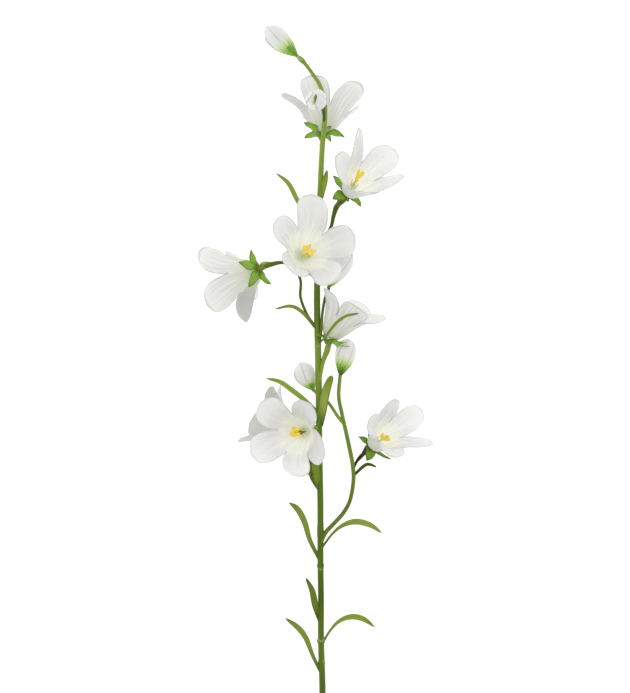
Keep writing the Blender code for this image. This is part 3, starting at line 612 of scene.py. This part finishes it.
# What a bloom or a bud has where its own entry says nothing else
USUAL = dict(
    stalk=[], girth=[1] * 6, bend=(0, 0, 0), light=0.6, dark=0.6, full=[0.5] * PETALS, square={},
    stamens=(0, 0, 1, 1), dome=(0, 0), shade=0.3, slim=1, collar=0.12, arch=0, deep=0.6, mouth=0.4,
)
for table in (BLOOMS, BUDS):
    for name, item in table.items():
        table[name] = {**USUAL, **item}
print("blooms:", len(BLOOMS), "buds:", len(BUDS), "leaves:", len(STEM_LEAVES) + len(BRANCH_LEAVES))

# %% [markdown]
# ## Lines and frames
#
# Two rules place everything: a smooth line through a few stations, for stalks and leaves,
# and a frame for each bloom or bud, whose own Z is the way that it faces.


# %% Line and frame rules
def ramp(share):
    share = min(max(share, 0), 1)
    return share * share * (3 - 2 * share)


def point_on(stations, share):
    """The station (x, y, z, size) at a share of the way along a smooth line."""
    stations = [Vector(station) for station in stations]
    padded = [2 * stations[0] - stations[1], *stations, 2 * stations[-1] - stations[-2]]
    spans = [(end.xyz - start.xyz).length for start, end in zip(stations, stations[1:])]
    distance = share * sum(spans)
    index = 0
    while index < len(spans) - 1 and distance > spans[index]:
        distance -= spans[index]
        index += 1
    before, start, end, after = padded[index:index + 4]
    t = distance / spans[index]
    linear = (end - before) * t
    square = (2 * before - 5 * start + 4 * end - after) * t * t
    cube = (3 * start - before - 3 * end + after) * t ** 3
    return 0.5 * (2 * start + linear + square + cube)


def frame_of(item):
    """Local Z is the way it faces, local Y is as near to +Y as it can be."""
    facing = Vector(item["facing"]).normalized()
    upward = (Vector((0, 1, 0)) - facing * facing.y).normalized()
    turn = Matrix((upward.cross(facing), upward, facing)).transposed().to_4x4()
    return Matrix.Translation(Vector(item["base"]) * MM) @ turn


def put(piece, item):
    """Move a piece's mesh to a bloom's or bud's place, with its object left at the origin."""
    piece.data.transform(frame_of(item))
    piece.data.update()


# %% [markdown]
# ## Petals
#
# A real petal is a thin curved sheet. It could be pulled into shape by hand, but forty petals
# that each lean and twist their own way are better told by a rule. So one flat grid is made,
# and each petal is a copy of it whose points the rule moves.

# %% A blank petal
blank_petal = blank_sheet("blank_petal", 24, 44)

# %% [markdown]
# The rule is that of a bell. Up to the clefts the petals make one cup, turned about the
# bloom's axis. Past them each lobe is free, with a rounded outline, a shallow groove along
# its middle, a soft wave in its rim and edges that curl back a little.


# %% The rule of the bell
SPINE_STEPS = 16
CREASE_DEPTH = 0.45
CREASE_WIDTH = 0.16
RIDGE_WIDTH = 0.14
RIM_WAVE = 0.5
RIM_CURL = 0.7
RIM_WAVE_PACE = 7.5
TIP_POINT = 0.03
TIP_WIDTH = 0.22


def petal_spine(opening, free_length, lean, distance):
    """Radius, height and slope of a petal's mid-line at a distance from the floor's edge."""
    radius = CORE_RADIUS
    height = 0
    step = distance / SPINE_STEPS
    for index in range(SPINE_STEPS):
        here = (index + 0.5) * step
        free = ramp((here - CUP_LENGTH * FLARE_START) / free_length)
        rounding = CUP_ROUNDING * max(0, 1 - here / CUP_ROUNDING_LENGTH)
        slope = radians(opening - CUP_LEAN + rounding + (LOBE_FLARE + lean) * free)
        radius += sin(slope) * step
        height += cos(slope) * step
    return radius, height, slope


def petal_angle(bloom, index):
    return radians(bloom["turn"] + index * 360 / PETALS)


def crease(across, depth):
    """A groove along a petal's middle, with a lower ridge on each side."""
    groove = exp(-(across / CREASE_WIDTH) ** 2)
    ridges = exp(-((abs(across) - 0.5) / RIDGE_WIDTH) ** 2)
    return CREASE_DEPTH * depth * (groove - 0.5 * ridges)


def rounded(across, share, squareness):
    """Fit the square of a grid into a lobe's outline: how far along it a point is, and across."""
    run = share * sqrt(1 - across * across / 2)
    spread = across * sqrt(1 - share * share / 2)
    reach = hypot(run, spread)
    if reach > 0:
        outline = (run ** squareness + abs(spread) ** squareness) ** (1 / squareness)
        run *= reach / outline
        spread *= reach / outline
    return run, spread


def cup_point(bloom, index, across, share):
    angle = petal_angle(bloom, index) + across * pi / PETALS
    radius, height, slope = petal_spine(bloom["open"], LOBE_LENGTH, 0, CUP_LENGTH * share)
    fold = crease(across, share)
    radius += fold * cos(slope)
    height -= fold * sin(slope)
    return Vector((-sin(angle) * radius, cos(angle) * radius, height))


def lobe_point(bloom, index, across, share):
    free_length, lean, sway, twist = bloom["petals"][index]
    opening = bloom["open"]
    middle = petal_angle(bloom, index)
    ahead = Vector((-sin(middle), cos(middle), 0))
    aside = Vector((-cos(middle), -sin(middle), 0))
    upward = Vector((0, 0, 1))
    run, spread = rounded(across, share, bloom["square"].get(index, LOBE_SQUARENESS))
    run *= 1 + TIP_POINT * share * share * exp(-(across / TIP_WIDTH) ** 2)
    joined, _, _ = petal_spine(opening, LOBE_LENGTH, 0, CUP_LENGTH)
    radius, height, slope = petal_spine(opening, free_length, lean, CUP_LENGTH + free_length * run)
    bend_radius = joined * (1 + LOBE_FLATTENING * run)
    widening = LOBE_WIDENING if opening > NARROW_OPENING else NARROW_WIDENING
    fuller = bloom["full"][index] * sin(pi * run ** 0.8)
    bend = spread * (joined * pi / PETALS + widening * run + fuller) / bend_radius
    tilt = slope * ramp(run * LOBE_LEVELLING)
    inward = upward * sin(tilt) - ahead * cos(tilt)
    fold = crease(across, 1 - run)
    phase = run * RIM_WAVE_PACE + (bloom["turn"] + index * 2.1) + across * 1.7
    wave = RIM_WAVE * sin(phase) * spread * spread * ramp(run * 2)
    curl = -RIM_CURL * ramp((abs(spread) - 0.45) / 0.55) * ramp(run * 1.5) * abs(spread)
    offset = aside * bend_radius * sin(bend)
    offset += inward * (bend_radius * (1 - cos(bend)) - fold + wave + curl)
    along = ahead * sin(slope) + upward * cos(slope)
    offset = Matrix.Rotation(radians(twist) * ramp(run * LOBE_TWISTING), 3, along) @ offset
    sideways = aside * sin(radians(sway)) * free_length * run * run
    return ahead * radius + upward * height + offset + sideways


# %% [markdown]
# Five copies of the blank are bent and joined, the doubled points along the cup's seams are
# merged, and the small floor is filled where the ovary holds it. Solidify gives the sheet its
# thickness. The mesh is moved to the bloom's place last.


# %% Build the corollas
CUP_SHARE = 0.36
SEAM_GAP = 0.05
FLOOR_RIM = 0.1


def looks_away(place, normal):
    """1 on the side that looks away from the bloom's axis, 0 inside."""
    return 1 if normal.dot(Vector((*place.xy, -0.4 * place.xy.length))) > 0 else 0


def fill_floor(corolla):
    """One face across the hole in the middle of the cup."""
    on_all_points(bpy.ops.mesh.select_all, action="DESELECT")
    floor_edge = (CORE_RADIUS + FLOOR_RIM) * MM
    for vert in corolla.data.vertices:
        vert.select = vert.co.xy.length < floor_edge and abs(vert.co.z) < FLOOR_RIM * MM
    bpy.ops.object.mode_set(mode="EDIT")
    bpy.ops.mesh.edge_face_add()
    bpy.ops.object.mode_set(mode="OBJECT")


def build_corolla(name, bloom):
    sheets = []
    for index in range(PETALS):
        sheet = bent_copy(blank_petal, f"{name}_sheet_{index}", lambda across, share: (
            cup_point(bloom, index, across, share / CUP_SHARE) if share <= CUP_SHARE else
            lobe_point(bloom, index, across, (share - CUP_SHARE) / (1 - CUP_SHARE))))
        paint_evenly(sheet, grey=bloom["grey"][index])
        sheets.append(sheet)
    corolla = join(name.replace("bloom", "petals"), sheets)
    on_all_points(bpy.ops.mesh.remove_doubles, threshold=SEAM_GAP * MM)
    fill_floor(corolla)
    on_all_points(bpy.ops.mesh.normals_make_consistent, inside=False)
    thicken(corolla, PETAL_WALL)
    paint_points(corolla, "outer", looks_away)
    put(corolla, bloom)
    hand_over(corolla, petal_white, name + "_corolla")


for name, bloom in BLOOMS.items():
    build_corolla(name, bloom)
remove(blank_petal)

# %% [markdown]
# ## Sheets along a line
#
# Leaves and sepals are the same kind of piece: a long narrow sheet, folded a little along its
# middle, that follows a line. One helper bends a copied grid to the line and gives it a wall.

# %% A blank blade
LEAF_FORM = (0.35, 0.12, 0.06)
SEPAL_FORM = (0.45, 0.15, 0.14)
TAPER_START = 0.9
blank_blade = blank_sheet("blank_blade", 6, 26)


def bend_blade(name, stations, form):
    """Bend a blade to a line. Its form is its fold, its half width at the tip and its wave."""
    fold, tip_width, wave = form

    def bent(across, share):
        station = point_on(stations, share)
        ahead = point_on(stations, min(share + 0.02, 1))
        behind = point_on(stations, max(share - 0.02, 0))
        along = (ahead.xyz - behind.xyz).normalized()
        side = along.cross(Vector((0, 0, 1))).normalized()
        taper = ramp((share - TAPER_START) / (1 - TAPER_START))
        half = station.w * sqrt(max(0, 1 - taper ** 2)) + tip_width * taper
        rise = fold * abs(across) ** 1.4 * half
        rise += wave * half * sin(share * 11 + across * 2) * abs(across)
        return station.xyz + side * across * half + side.cross(along) * rise

    blade = bent_copy(blank_blade, name, bent)
    thicken(blade, BLADE_WALL)
    return blade


# %% [markdown]
# ## Stalks
#
# A stalk is a round bar along a line that swells at each joint, so it is drawn as a curve
# with a bevel and made a mesh. The mesh keeps a UV map that runs round and along the stalk.


# %% Round stalks from curves
def stalk(name, stations, steps, roundness, swell=()):
    bar = add(bpy.ops.curve.primitive_nurbs_path_add, name)
    curve = bar.data
    curve.splines.clear()
    curve.bevel_depth = MM
    curve.bevel_resolution = roundness
    curve.use_fill_caps = True
    spline = curve.splines.new("POLY")
    spline.points.add(steps)
    for index, point in enumerate(spline.points):
        station = point_on(stations, index / steps)
        extra = sum(proud * exp(-(2 * (station.y - y) / length) ** 4)
                    for y, proud, length in swell)
        point.co = (*(station.xyz * MM), 1)
        point.radius = station.w + extra
    choose(bar)
    bpy.ops.object.convert(target="MESH")
    on_all_points(bpy.ops.mesh.remove_doubles, threshold=0.002 * MM)
    return bpy.context.object


# How light the green is at a y along the stem
STEM_LIGHT = [
    (-280, 0), (-204, 0.02), (-176, 0.14), (-140, 0), (-69, 0.16), (-20, 0.3), (20, 0.72),
    (40, 0.75), (60, 0.3), (81, 0.2), (120, 0.5), (177, 1), (230, 0.9), (260, 0.6),
]


def light_at(y):
    for (low, start), (high, end) in zip(STEM_LIGHT, STEM_LIGHT[1:]):
        if y <= high:
            return start + (end - start) * max(0, (y - low) / (high - low))
    return STEM_LIGHT[-1][1]


def paint_stalk(piece, dark, light_rule, spots=()):
    paint_points(piece, "light", lambda place, normal: light_rule(place.y))
    # Painted shade: darker the more the surface faces the floor
    paint_points(piece, "under", lambda place, normal: (1 - normal.z) / 2)
    paint_evenly(piece, dark=dark)
    paint_points(piece, "joint_pale_and_highlight", lambda place, normal: max([0, *(
        exp(-((place.y - y) / (0.45 * length)) ** 2 - ((place.x - x) / wide) ** 4)
        for y, x, wide, length in spots)]))


def own_stalk(name, item):
    """The stalk of a bloom or bud. Its last part runs square into the neck."""
    place = frame_of(item)
    neck, radius = 0, BUD_STALK_RADIUS
    if "ovary" in item:
        neck, radius = -FLOOR_GAP - item["ovary"][0], item["ovary"][1]
    bend = Vector(item["bend"])
    end = (place @ Vector((0, 0, (neck + 0.3) * MM))) / MM + bend
    near = (place @ Vector((0, 0, (neck - 0.3 - STALK_SQUARE) * MM))) / MM + bend * 1.5
    points = [*map(Vector, item["stalk"]), near, end]
    length = sum((end - start).length for start, end in zip(points, points[1:]))
    stations = [(*point, size) for point, size in zip(item["stalk"], item["girth"])]
    bar = stalk(name, [*stations, (*near, radius), (*end, radius)], ceil(length), 4)
    paint_stalk(bar, item["dark"], lambda y: min(1, light_at(y) * item["light"]))
    return bar


# %% [markdown]
# The main stem and the stalks that it carries are joined into one piece, and its leaves into
# another. Both stand for the same solid. The broad leaf has a patch of light in its middle.


# %% The main stem, its stalks and its leaves
def patch_of_light(place, normal):
    return 0.1 + 0.6 * exp(-((place.y - 2) / 9) ** 2 - ((place.x - 6.8) / 1.8) ** 2)


def build_leaves(name, table, node):
    leaves = []
    for leaf_name, (pale, shade, stations) in table.items():
        leaf = bend_blade("leaf_" + leaf_name, stations, LEAF_FORM)
        paint_evenly(leaf, pale=pale, shade=shade)
        if leaf_name == "broad":
            paint_points(leaf, "pale", patch_of_light)
        leaves.append(leaf)
    hand_over(join(name, leaves), leaf_green, node)


main_bar = stalk("main_bar", STEM_ROUTE, 560, 8, STEM_JOINTS)
paint_stalk(main_bar, 0, light_at, STEM_SPOTS)
bars = [own_stalk(name + "_bar", item) for name, item in {**BLOOMS, **BUDS}.items()
        if item["stalk"] and name != "bloom_lower_right"]
hand_over(join("main_stalks", [main_bar, *bars]), stem_green, "main_stem")
build_leaves("stem_leaves", STEM_LEAVES, "main_stem")

# %% [markdown]
# The side branch is made the same way. Its root stands against the main stem. It is lighter towards
# its end, and its twig is light green all round, with no painted shade underneath.

# %% The side branch, its twig and its leaf
branch_bar = stalk("branch_bar", BRANCH_ROUTE, 160, 5)
paint_stalk(branch_bar, 0.05, lambda y: 0.35 + 0.45 * ramp((y + 80) / 50))
twig_bar = stalk("twig_bar", TWIG_ROUTE, 40, 4)
paint_stalk(twig_bar, 0, lambda y: 1)
paint_evenly(twig_bar, under=0)
right_bar = own_stalk("right_bar", BLOOMS["bloom_lower_right"])
branch_stalks = join("branch_stalks", [branch_bar, twig_bar, right_bar])
hand_over(branch_stalks, stem_green, "side_branch")
build_leaves("branch_leaves", BRANCH_LEAVES, "side_branch")

# %% [markdown]
# ## Calyces
#
# The ovary is a small turned form: a disc is extruded and scaled ring by ring, from the wide
# top under the petals to the neck on the stalk. It is made once with ten low ribs, and each
# copy is stretched to its own length and neck, and bent where its stalk bends.

# %% One ovary, made ring by ring
# Radius and height of each ring
OVARY_RINGS = [(3, 0), (3.15, -0.12), (2.9, -0.3), (2.45, -0.5), (1.95, -0.7), (1.5, -0.88),
               (1.2, -1)]
OVARY_NECK = OVARY_RINGS[-1][0]


def extruded_rings(name, rings, sides):
    """A turned form by hand: a disc whose face is extruded and scaled for each next ring."""
    radius, height = rings[0]
    form = add(bpy.ops.mesh.primitive_circle_add, name, vertices=sides, radius=radius * MM,
               fill_type="NGON", location=(0, 0, height * MM))
    bpy.ops.object.mode_set(mode="EDIT")
    bpy.ops.mesh.select_all(action="SELECT")
    for next_radius, next_height in rings[1:]:
        rise = (next_height - height) * MM
        bpy.ops.mesh.extrude_region_move(TRANSFORM_OT_translate={"value": (0, 0, rise)})
        scale = next_radius / radius
        bpy.ops.transform.resize(value=(scale, scale, 1))
        radius, height = next_radius, next_height
    on_all_points(bpy.ops.mesh.normals_make_consistent, inside=False)
    bpy.ops.object.transform_apply(location=True, rotation=True, scale=True)
    return form


def rib(form, depth, count):
    """Raise low ribs all round a turned form."""
    for vert in form.data.vertices:
        angle = atan2(vert.co.y, vert.co.x)
        vert.co.xy *= 1 + depth * cos(count * angle)
    print(form.name, "points:", len(form.data.vertices))


ovary_model = extruded_rings("ovary_model", OVARY_RINGS, 30)
rib(ovary_model, 0.04, 2 * PETALS)

# %% [markdown]
# The sepals are blades that spread from the top of the ovary and bend back at their tips. A
# real calyx has five, each with its own turn, reach, lift and sometimes breadth.

# %% Sepals and the whole calyx
# Share of the reach, height, and half the width as a share of the reach
SEPAL_LINE = [(0.08, -1.9, 0.07), (0.40, -1.8, 0.21), (0.72, -2.5, 0.18), (1, -4.5, 0.02)]
HAIR_THIN = 0.45


def build_sepal(name, bloom, turn, reach, lift, broad):
    angle = radians(turn)
    arch = bloom["arch"]
    line = [(-sin(angle) * away * reach, cos(angle) * away * reach,
             height + lift * away ** 3 + arch * sin(pi * away), size * reach * broad)
            for away, height, size in SEPAL_LINE]
    sepal = bend_blade(name, line, SEPAL_FORM)
    paint_evenly(sepal, ovary=0, pale=1 if broad < HAIR_THIN else 0,
                 shade=0.25 * bloom["tone"] ** 2)
    return sepal


def build_calyx(name, bloom):
    ovary = copy_of(ovary_model, name + "_ovary")
    length, neck = bloom["ovary"]
    bend = frame_of(bloom).to_3x3().inverted() @ Vector(bloom["bend"])
    for vert in ovary.data.vertices:
        depth = -vert.co.z / MM
        vert.co.xy *= (1 + (neck / OVARY_NECK - 1) * ramp(depth)) * bloom["slim"]
        vert.co.z = -(FLOOR_GAP + depth * length) * MM
        vert.co.xy *= 1 + bloom["collar"] * exp(-(depth * length / 1.3) ** 2)
        vert.co += bend * depth ** 1.5 * MM
    paint_points(ovary, "ovary", lambda place, normal: ramp((-FLOOR_GAP - place.z) / 2.2))
    sepals = [build_sepal(f"{name}_sepal_{index}", bloom, *(*sepal, 1)[:4])
              for index, sepal in enumerate(bloom["sepals"])]
    calyx = join(name.replace("bloom", "calyx"), [ovary, *sepals])
    paint_evenly(calyx, dark=bloom["tone"])
    put(calyx, bloom)
    hand_over(calyx, sepal_green, name + "_calyx")


for name, bloom in BLOOMS.items():
    build_calyx(name, bloom)
remove(ovary_model, blank_blade)

# %% [markdown]
# ## Stamens
#
# In the throat stand five yellow stamens, each a lumpy pollen sac on a short thread, round a
# green dome that ends in a short style. One sac, one thread and one dome are made for all.

# %% One sac, one thread and the dome
DOME_RINGS = [(1.5, 0.7), (2, 1.6), (2, 3.4), (1.7, 5.6), (1, 7.6), (0.7, 9),
              (0.6, 13), (0.9, 13.8), (0.3, 14.6)]
sac_model = add(bpy.ops.mesh.primitive_uv_sphere_add, "sac_model", segments=20, ring_count=14,
                radius=MM)
for vert in sac_model.data.vertices:
    place = vert.co / MM
    lump = 1 + 0.16 * noise.noise(place * 1.7 + Vector((3.1, 0.4, 7.7)))
    groove = 0.22 * exp(-(place.x / 0.25) ** 2) * max(0, place.y)
    drawn = Vector((place.x * 1.15, (place.y - groove) * 0.95, place.z * 2.5 + 0.3 * place.x))
    vert.co = drawn * lump * MM
thread_model = stalk("thread_model", [(0, 0, 0, 0.5), (0.3, 0, 4, 0.4), (0, 0, 8, 0.4)], 6, 2)
dome_model = extruded_rings("dome_model", DOME_RINGS, 20)
rib(dome_model, 0.1, PETALS)
for model, green in ((sac_model, 0), (thread_model, 0.9), (dome_model, 1)):
    paint_evenly(model, green=green, dark=0)

# %% [markdown]
# The sacs of a real bloom lie every which way. So each bloom gets its own loose arrangement
# of copies, turned by a seeded dice so that every run gives the same bloom.


# %% Stamens in every bloom
def set_apart(name, model, turn, spot, size=1):
    copy = copy_of(model, name)
    place = Matrix.LocRotScale(Vector(spot) * MM, turn.to_quaternion(), Vector((size,) * 3))
    copy.data.transform(place)
    return copy


def build_stamens(name, bloom, dice):
    shift_x, shift_y, spread, stretch = bloom["stamens"]
    aside = Vector(bloom["dome"]).to_3d()
    turn = Matrix.Rotation(dice.uniform(0, 1), 3, "Z")
    dome = set_apart(name + "_dome", dome_model, turn, (0, 0, 0))
    # Painted shade on the dome towards its foot, deep in the throat, as strong as the bloom's shade
    paint_points(dome, "dark", lambda place, normal: bloom["shade"] * ramp((12 - place.z) / 4))
    for vert in dome.data.vertices:
        vert.co += aside * ramp(vert.co.z / MM / 6) * MM
    pieces = [dome]
    for index in range(PETALS):
        around = Matrix.Rotation(petal_angle(bloom, index) + dice.uniform(-0.3, 0.3), 3, "Z")
        lean = Matrix.Rotation(radians(-dice.uniform(4, 14)), 3, "X")
        thread = set_apart(f"{name}_thread_{index}", thread_model, around @ lean,
                           around @ Vector((0, 1.2, 0.9)))
        tilt = Matrix.Rotation(radians(-dice.uniform(10, 65)), 3, "X")
        roll = Matrix.Rotation(dice.uniform(-0.9, 0.9), 3, "Z")
        spot = around @ Vector((dice.uniform(-0.6, 0.6), 2.3 * spread * dice.uniform(0.7, 1.3),
                                dice.uniform(12, 15.5)))
        sac = set_apart(f"{name}_sac_{index}", sac_model, around @ tilt @ roll, spot,
                        dice.uniform(1, 1.35))
        pieces += [thread, sac]
    stamens = join(name.replace("bloom", "stamens"), pieces)
    for vert in stamens.data.vertices:
        height = vert.co.z / MM
        drift = (height / 15) ** 1.5 if height > 0 else 0
        vert.co += Vector((shift_x * drift, shift_y * drift, height * (stretch - 1))) * MM
    put(stamens, bloom)
    hand_over(stamens, stamen_yellow, name + "_stamens")


dice = random.Random(7)
for name, bloom in BLOOMS.items():
    build_stamens(name, bloom, dice)

# %% [markdown]
# ## Buds
#
# A closed bud is five petals wrapped round each other: each one starts under its neighbour
# and ends over the next. They are sheets again, bent round the bud's outline, with one long
# edge lifted a little over the other.

# %% Bud petals
WRAP_HALF_TURN = radians(55)
WRAP_LAP = 0.55
# How far up its bud each petal reaches
WRAP_REACHES = (1, 0.95, 1.02, 0.97, 1.01)
blank_wrap = blank_sheet("blank_wrap", 20, 34)


def bud_radius(bud, height):
    share = height / bud["length"]
    if share < BUD_BELLY:
        swelling = sin(pi / 2 * share / BUD_BELLY) ** BUD_FULLNESS
        return max(BUD_NECK, bud["radius"] * swelling)
    narrowing = min((share - BUD_BELLY) / (1 - BUD_BELLY), 1)
    return bud["radius"] * sqrt(1 - (1 - bud["mouth"] ** 2) * narrowing ** BUD_SHOULDER)


def wrap_petal(name, bud, index):
    """One petal of a closed bud: its left edge is under the last one, its right over the next."""
    foot = bud["calyx"] * 0.8
    belly = bud["length"] * BUD_BELLY
    tip = bud["length"] * WRAP_REACHES[index]

    def wrapped(across, share):
        if share < 0.5:
            height = foot + (belly - foot) * share * 2
            radius = bud_radius(bud, height)
        else:
            climb = sin((share - 0.5) * pi)
            height = belly + (tip - belly) * climb
            radius = bud["radius"] * sqrt(max(0, 1 - climb ** BUD_BLUNTNESS)) + 0.05
        turn = radians(index * 360 / PETALS) + across * WRAP_HALF_TURN + BUD_SPIRAL * share
        lift = WRAP_LAP * across * ramp(share * 2) * ramp((1 - share) * 4)
        radius = radius * (1 - 0.03 * cos(2 * across)) + lift
        return Vector((cos(turn) * radius, sin(turn) * radius, height))

    wrap = bent_copy(blank_wrap, name, wrapped)
    thicken(wrap, BUD_WALL)
    return wrap


# %% [markdown]
# The green cup is extruded ring by ring like the ovary. Its streaks need a map, so each
# corner of a face is told how far round the cup and how far up it lies. A face that spans the
# seam counts on from its own middle, so the map doesn't tear.


# %% Bud cups
CUP_RINGS = 10
CUP_PROUD = 0.06
# How many widths of the map go round a cup, about as many as go round its petals
MAP_WIDTHS = 3.6


def map_round(piece, top):
    layer = piece.data.uv_layers.new(name="round").data
    for face in piece.data.polygons:
        middle = atan2(face.center.y, face.center.x)
        for corner in face.loop_indices:
            place = piece.data.vertices[piece.data.loops[corner].vertex_index].co
            turn = atan2(place.y, place.x) - middle
            turn = middle + (turn + pi) % tau - pi
            layer[corner].uv = (turn * MAP_WIDTHS / tau, place.z / MM / top)


def build_bud(name, bud):
    heights = [bud["calyx"] * share / CUP_RINGS for share in range(CUP_RINGS, -1, -1)]
    rings = [(bud_radius(bud, height) + CUP_PROUD, height) for height in heights]
    cup = extruded_rings(name.replace("bud", "bud_cup"), rings, 40)
    map_round(cup, bud["length"])
    wraps = [wrap_petal(f"{name}_wrap_{index}", bud, index) for index in range(PETALS)]
    petals = join(name.replace("bud", "bud_wraps"), wraps)
    for piece, slot, node in ((cup, "calyx", name + "_calyx"), (petals, "bud", name + "_petals")):
        paint_points(piece, "climb", lambda place, normal: place.z / bud["length"])
        paint_evenly(piece, green=bud["green"], deep=bud["deep"])
        put(piece, bud)
        hand_over(piece, bud_white, node)


for name, bud in BUDS.items():
    build_bud(name, bud)
remove(blank_wrap)

# %% [markdown]
# The bud below the tip has begun to part, and its olive heart shows there as a narrow slit.
# It is one sac of the stamens, drawn out and set down on the bud's petals from above.

# %% The heart of the parting bud
SLIT_MIDDLE = Vector((0, 215.4))
SLIT_TURN = radians(-22)
ABOVE_ALL = 0.1
lying_down = Matrix.Rotation(radians(90), 3, "X")
heart = set_apart("bud_heart", sac_model, lying_down, (0, 0, 0))
wraps = bpy.data.objects["bud_wraps_below_tip"]
for vert in heart.data.vertices:
    place = vert.co / MM
    spot = SLIT_MIDDLE + Matrix.Rotation(SLIT_TURN, 2) @ Vector((place.x * 1.2, place.y * 1.55))
    spot *= MM
    _, ground, _, _ = wraps.ray_cast(Vector((*spot, ABOVE_ALL)), Vector((0, 0, -1)))
    vert.co = Vector((*spot, ground.z + place.z * 0.4 * MM))
paint_evenly(heart, green=1)
paint_points(heart, "dark", lambda place, normal: ramp((place.x + 1.4) / 2))
hand_over(heart, stamen_yellow, "bud_below_tip_petals")
remove(sac_model, thread_model, dome_model)

# %% [markdown]
# ## Floor and light
#
# The stem lies on a plain white floor in soft light from all round, a little stronger from
# the upper left.

# %% Floor and light
floor = add(bpy.ops.mesh.primitive_plane_add, "floor", size=8, location=(0, 0, 0))
floor_paint = Recipe("floor_paint", Roughness=0.9, Base_Color=(0.6, 0.6, 0.6, 1),
                     Emission_Color=(1, 1, 1, 1), Emission_Strength=0.75)
floor.data.materials.append(floor_paint.material)

world = bpy.data.worlds.new("soft_room")
world.use_nodes = True
room_light = world.node_tree.nodes["Background"].inputs
room_light["Color"].default_value = (1, 1, 1, 1)
room_light["Strength"].default_value = 0.6
bpy.context.scene.world = world

# Place, size and power of each lamp
LAMPS = {"upper_left_lamp": ((-1.3, 1.2, 2), 1.4, 12),
         "right_lamp": ((1.6, -0.4, 1.8), 1.6, 3)}
STEM_MIDDLE = Vector((0, 0.05, 0))
for name, (place, size, power) in LAMPS.items():
    light = bpy.data.lights.new(name, "AREA")
    light.size = size
    light.energy = power
    lamp = bpy.data.objects.new(name, light)
    bpy.context.collection.objects.link(lamp)
    lamp.location = place
    lamp.rotation_euler = (STEM_MIDDLE - Vector(place)).to_track_quat("-Z", "Y").to_euler()

# %% [markdown]
# The camera looks straight down from far away with a long lens, so the flower stem is seen as
# flat as it is in a catalogue picture.

# %% Camera
lens = bpy.data.cameras.new("camera")
lens.lens = 200.0
lens.sensor_width = 36.0
camera = bpy.data.objects.new("camera", lens)
bpy.context.collection.objects.link(camera)
camera.location = (0.00036, 0.04068, 2.797)
camera.rotation_euler = (0.0, 0.0, 0.0)
bpy.context.scene.camera = camera
bpy.context.scene.view_settings.view_transform = "Standard"
print("camera height:", round(camera.location.z, 3), "m, lens:", lens.lens, "mm")
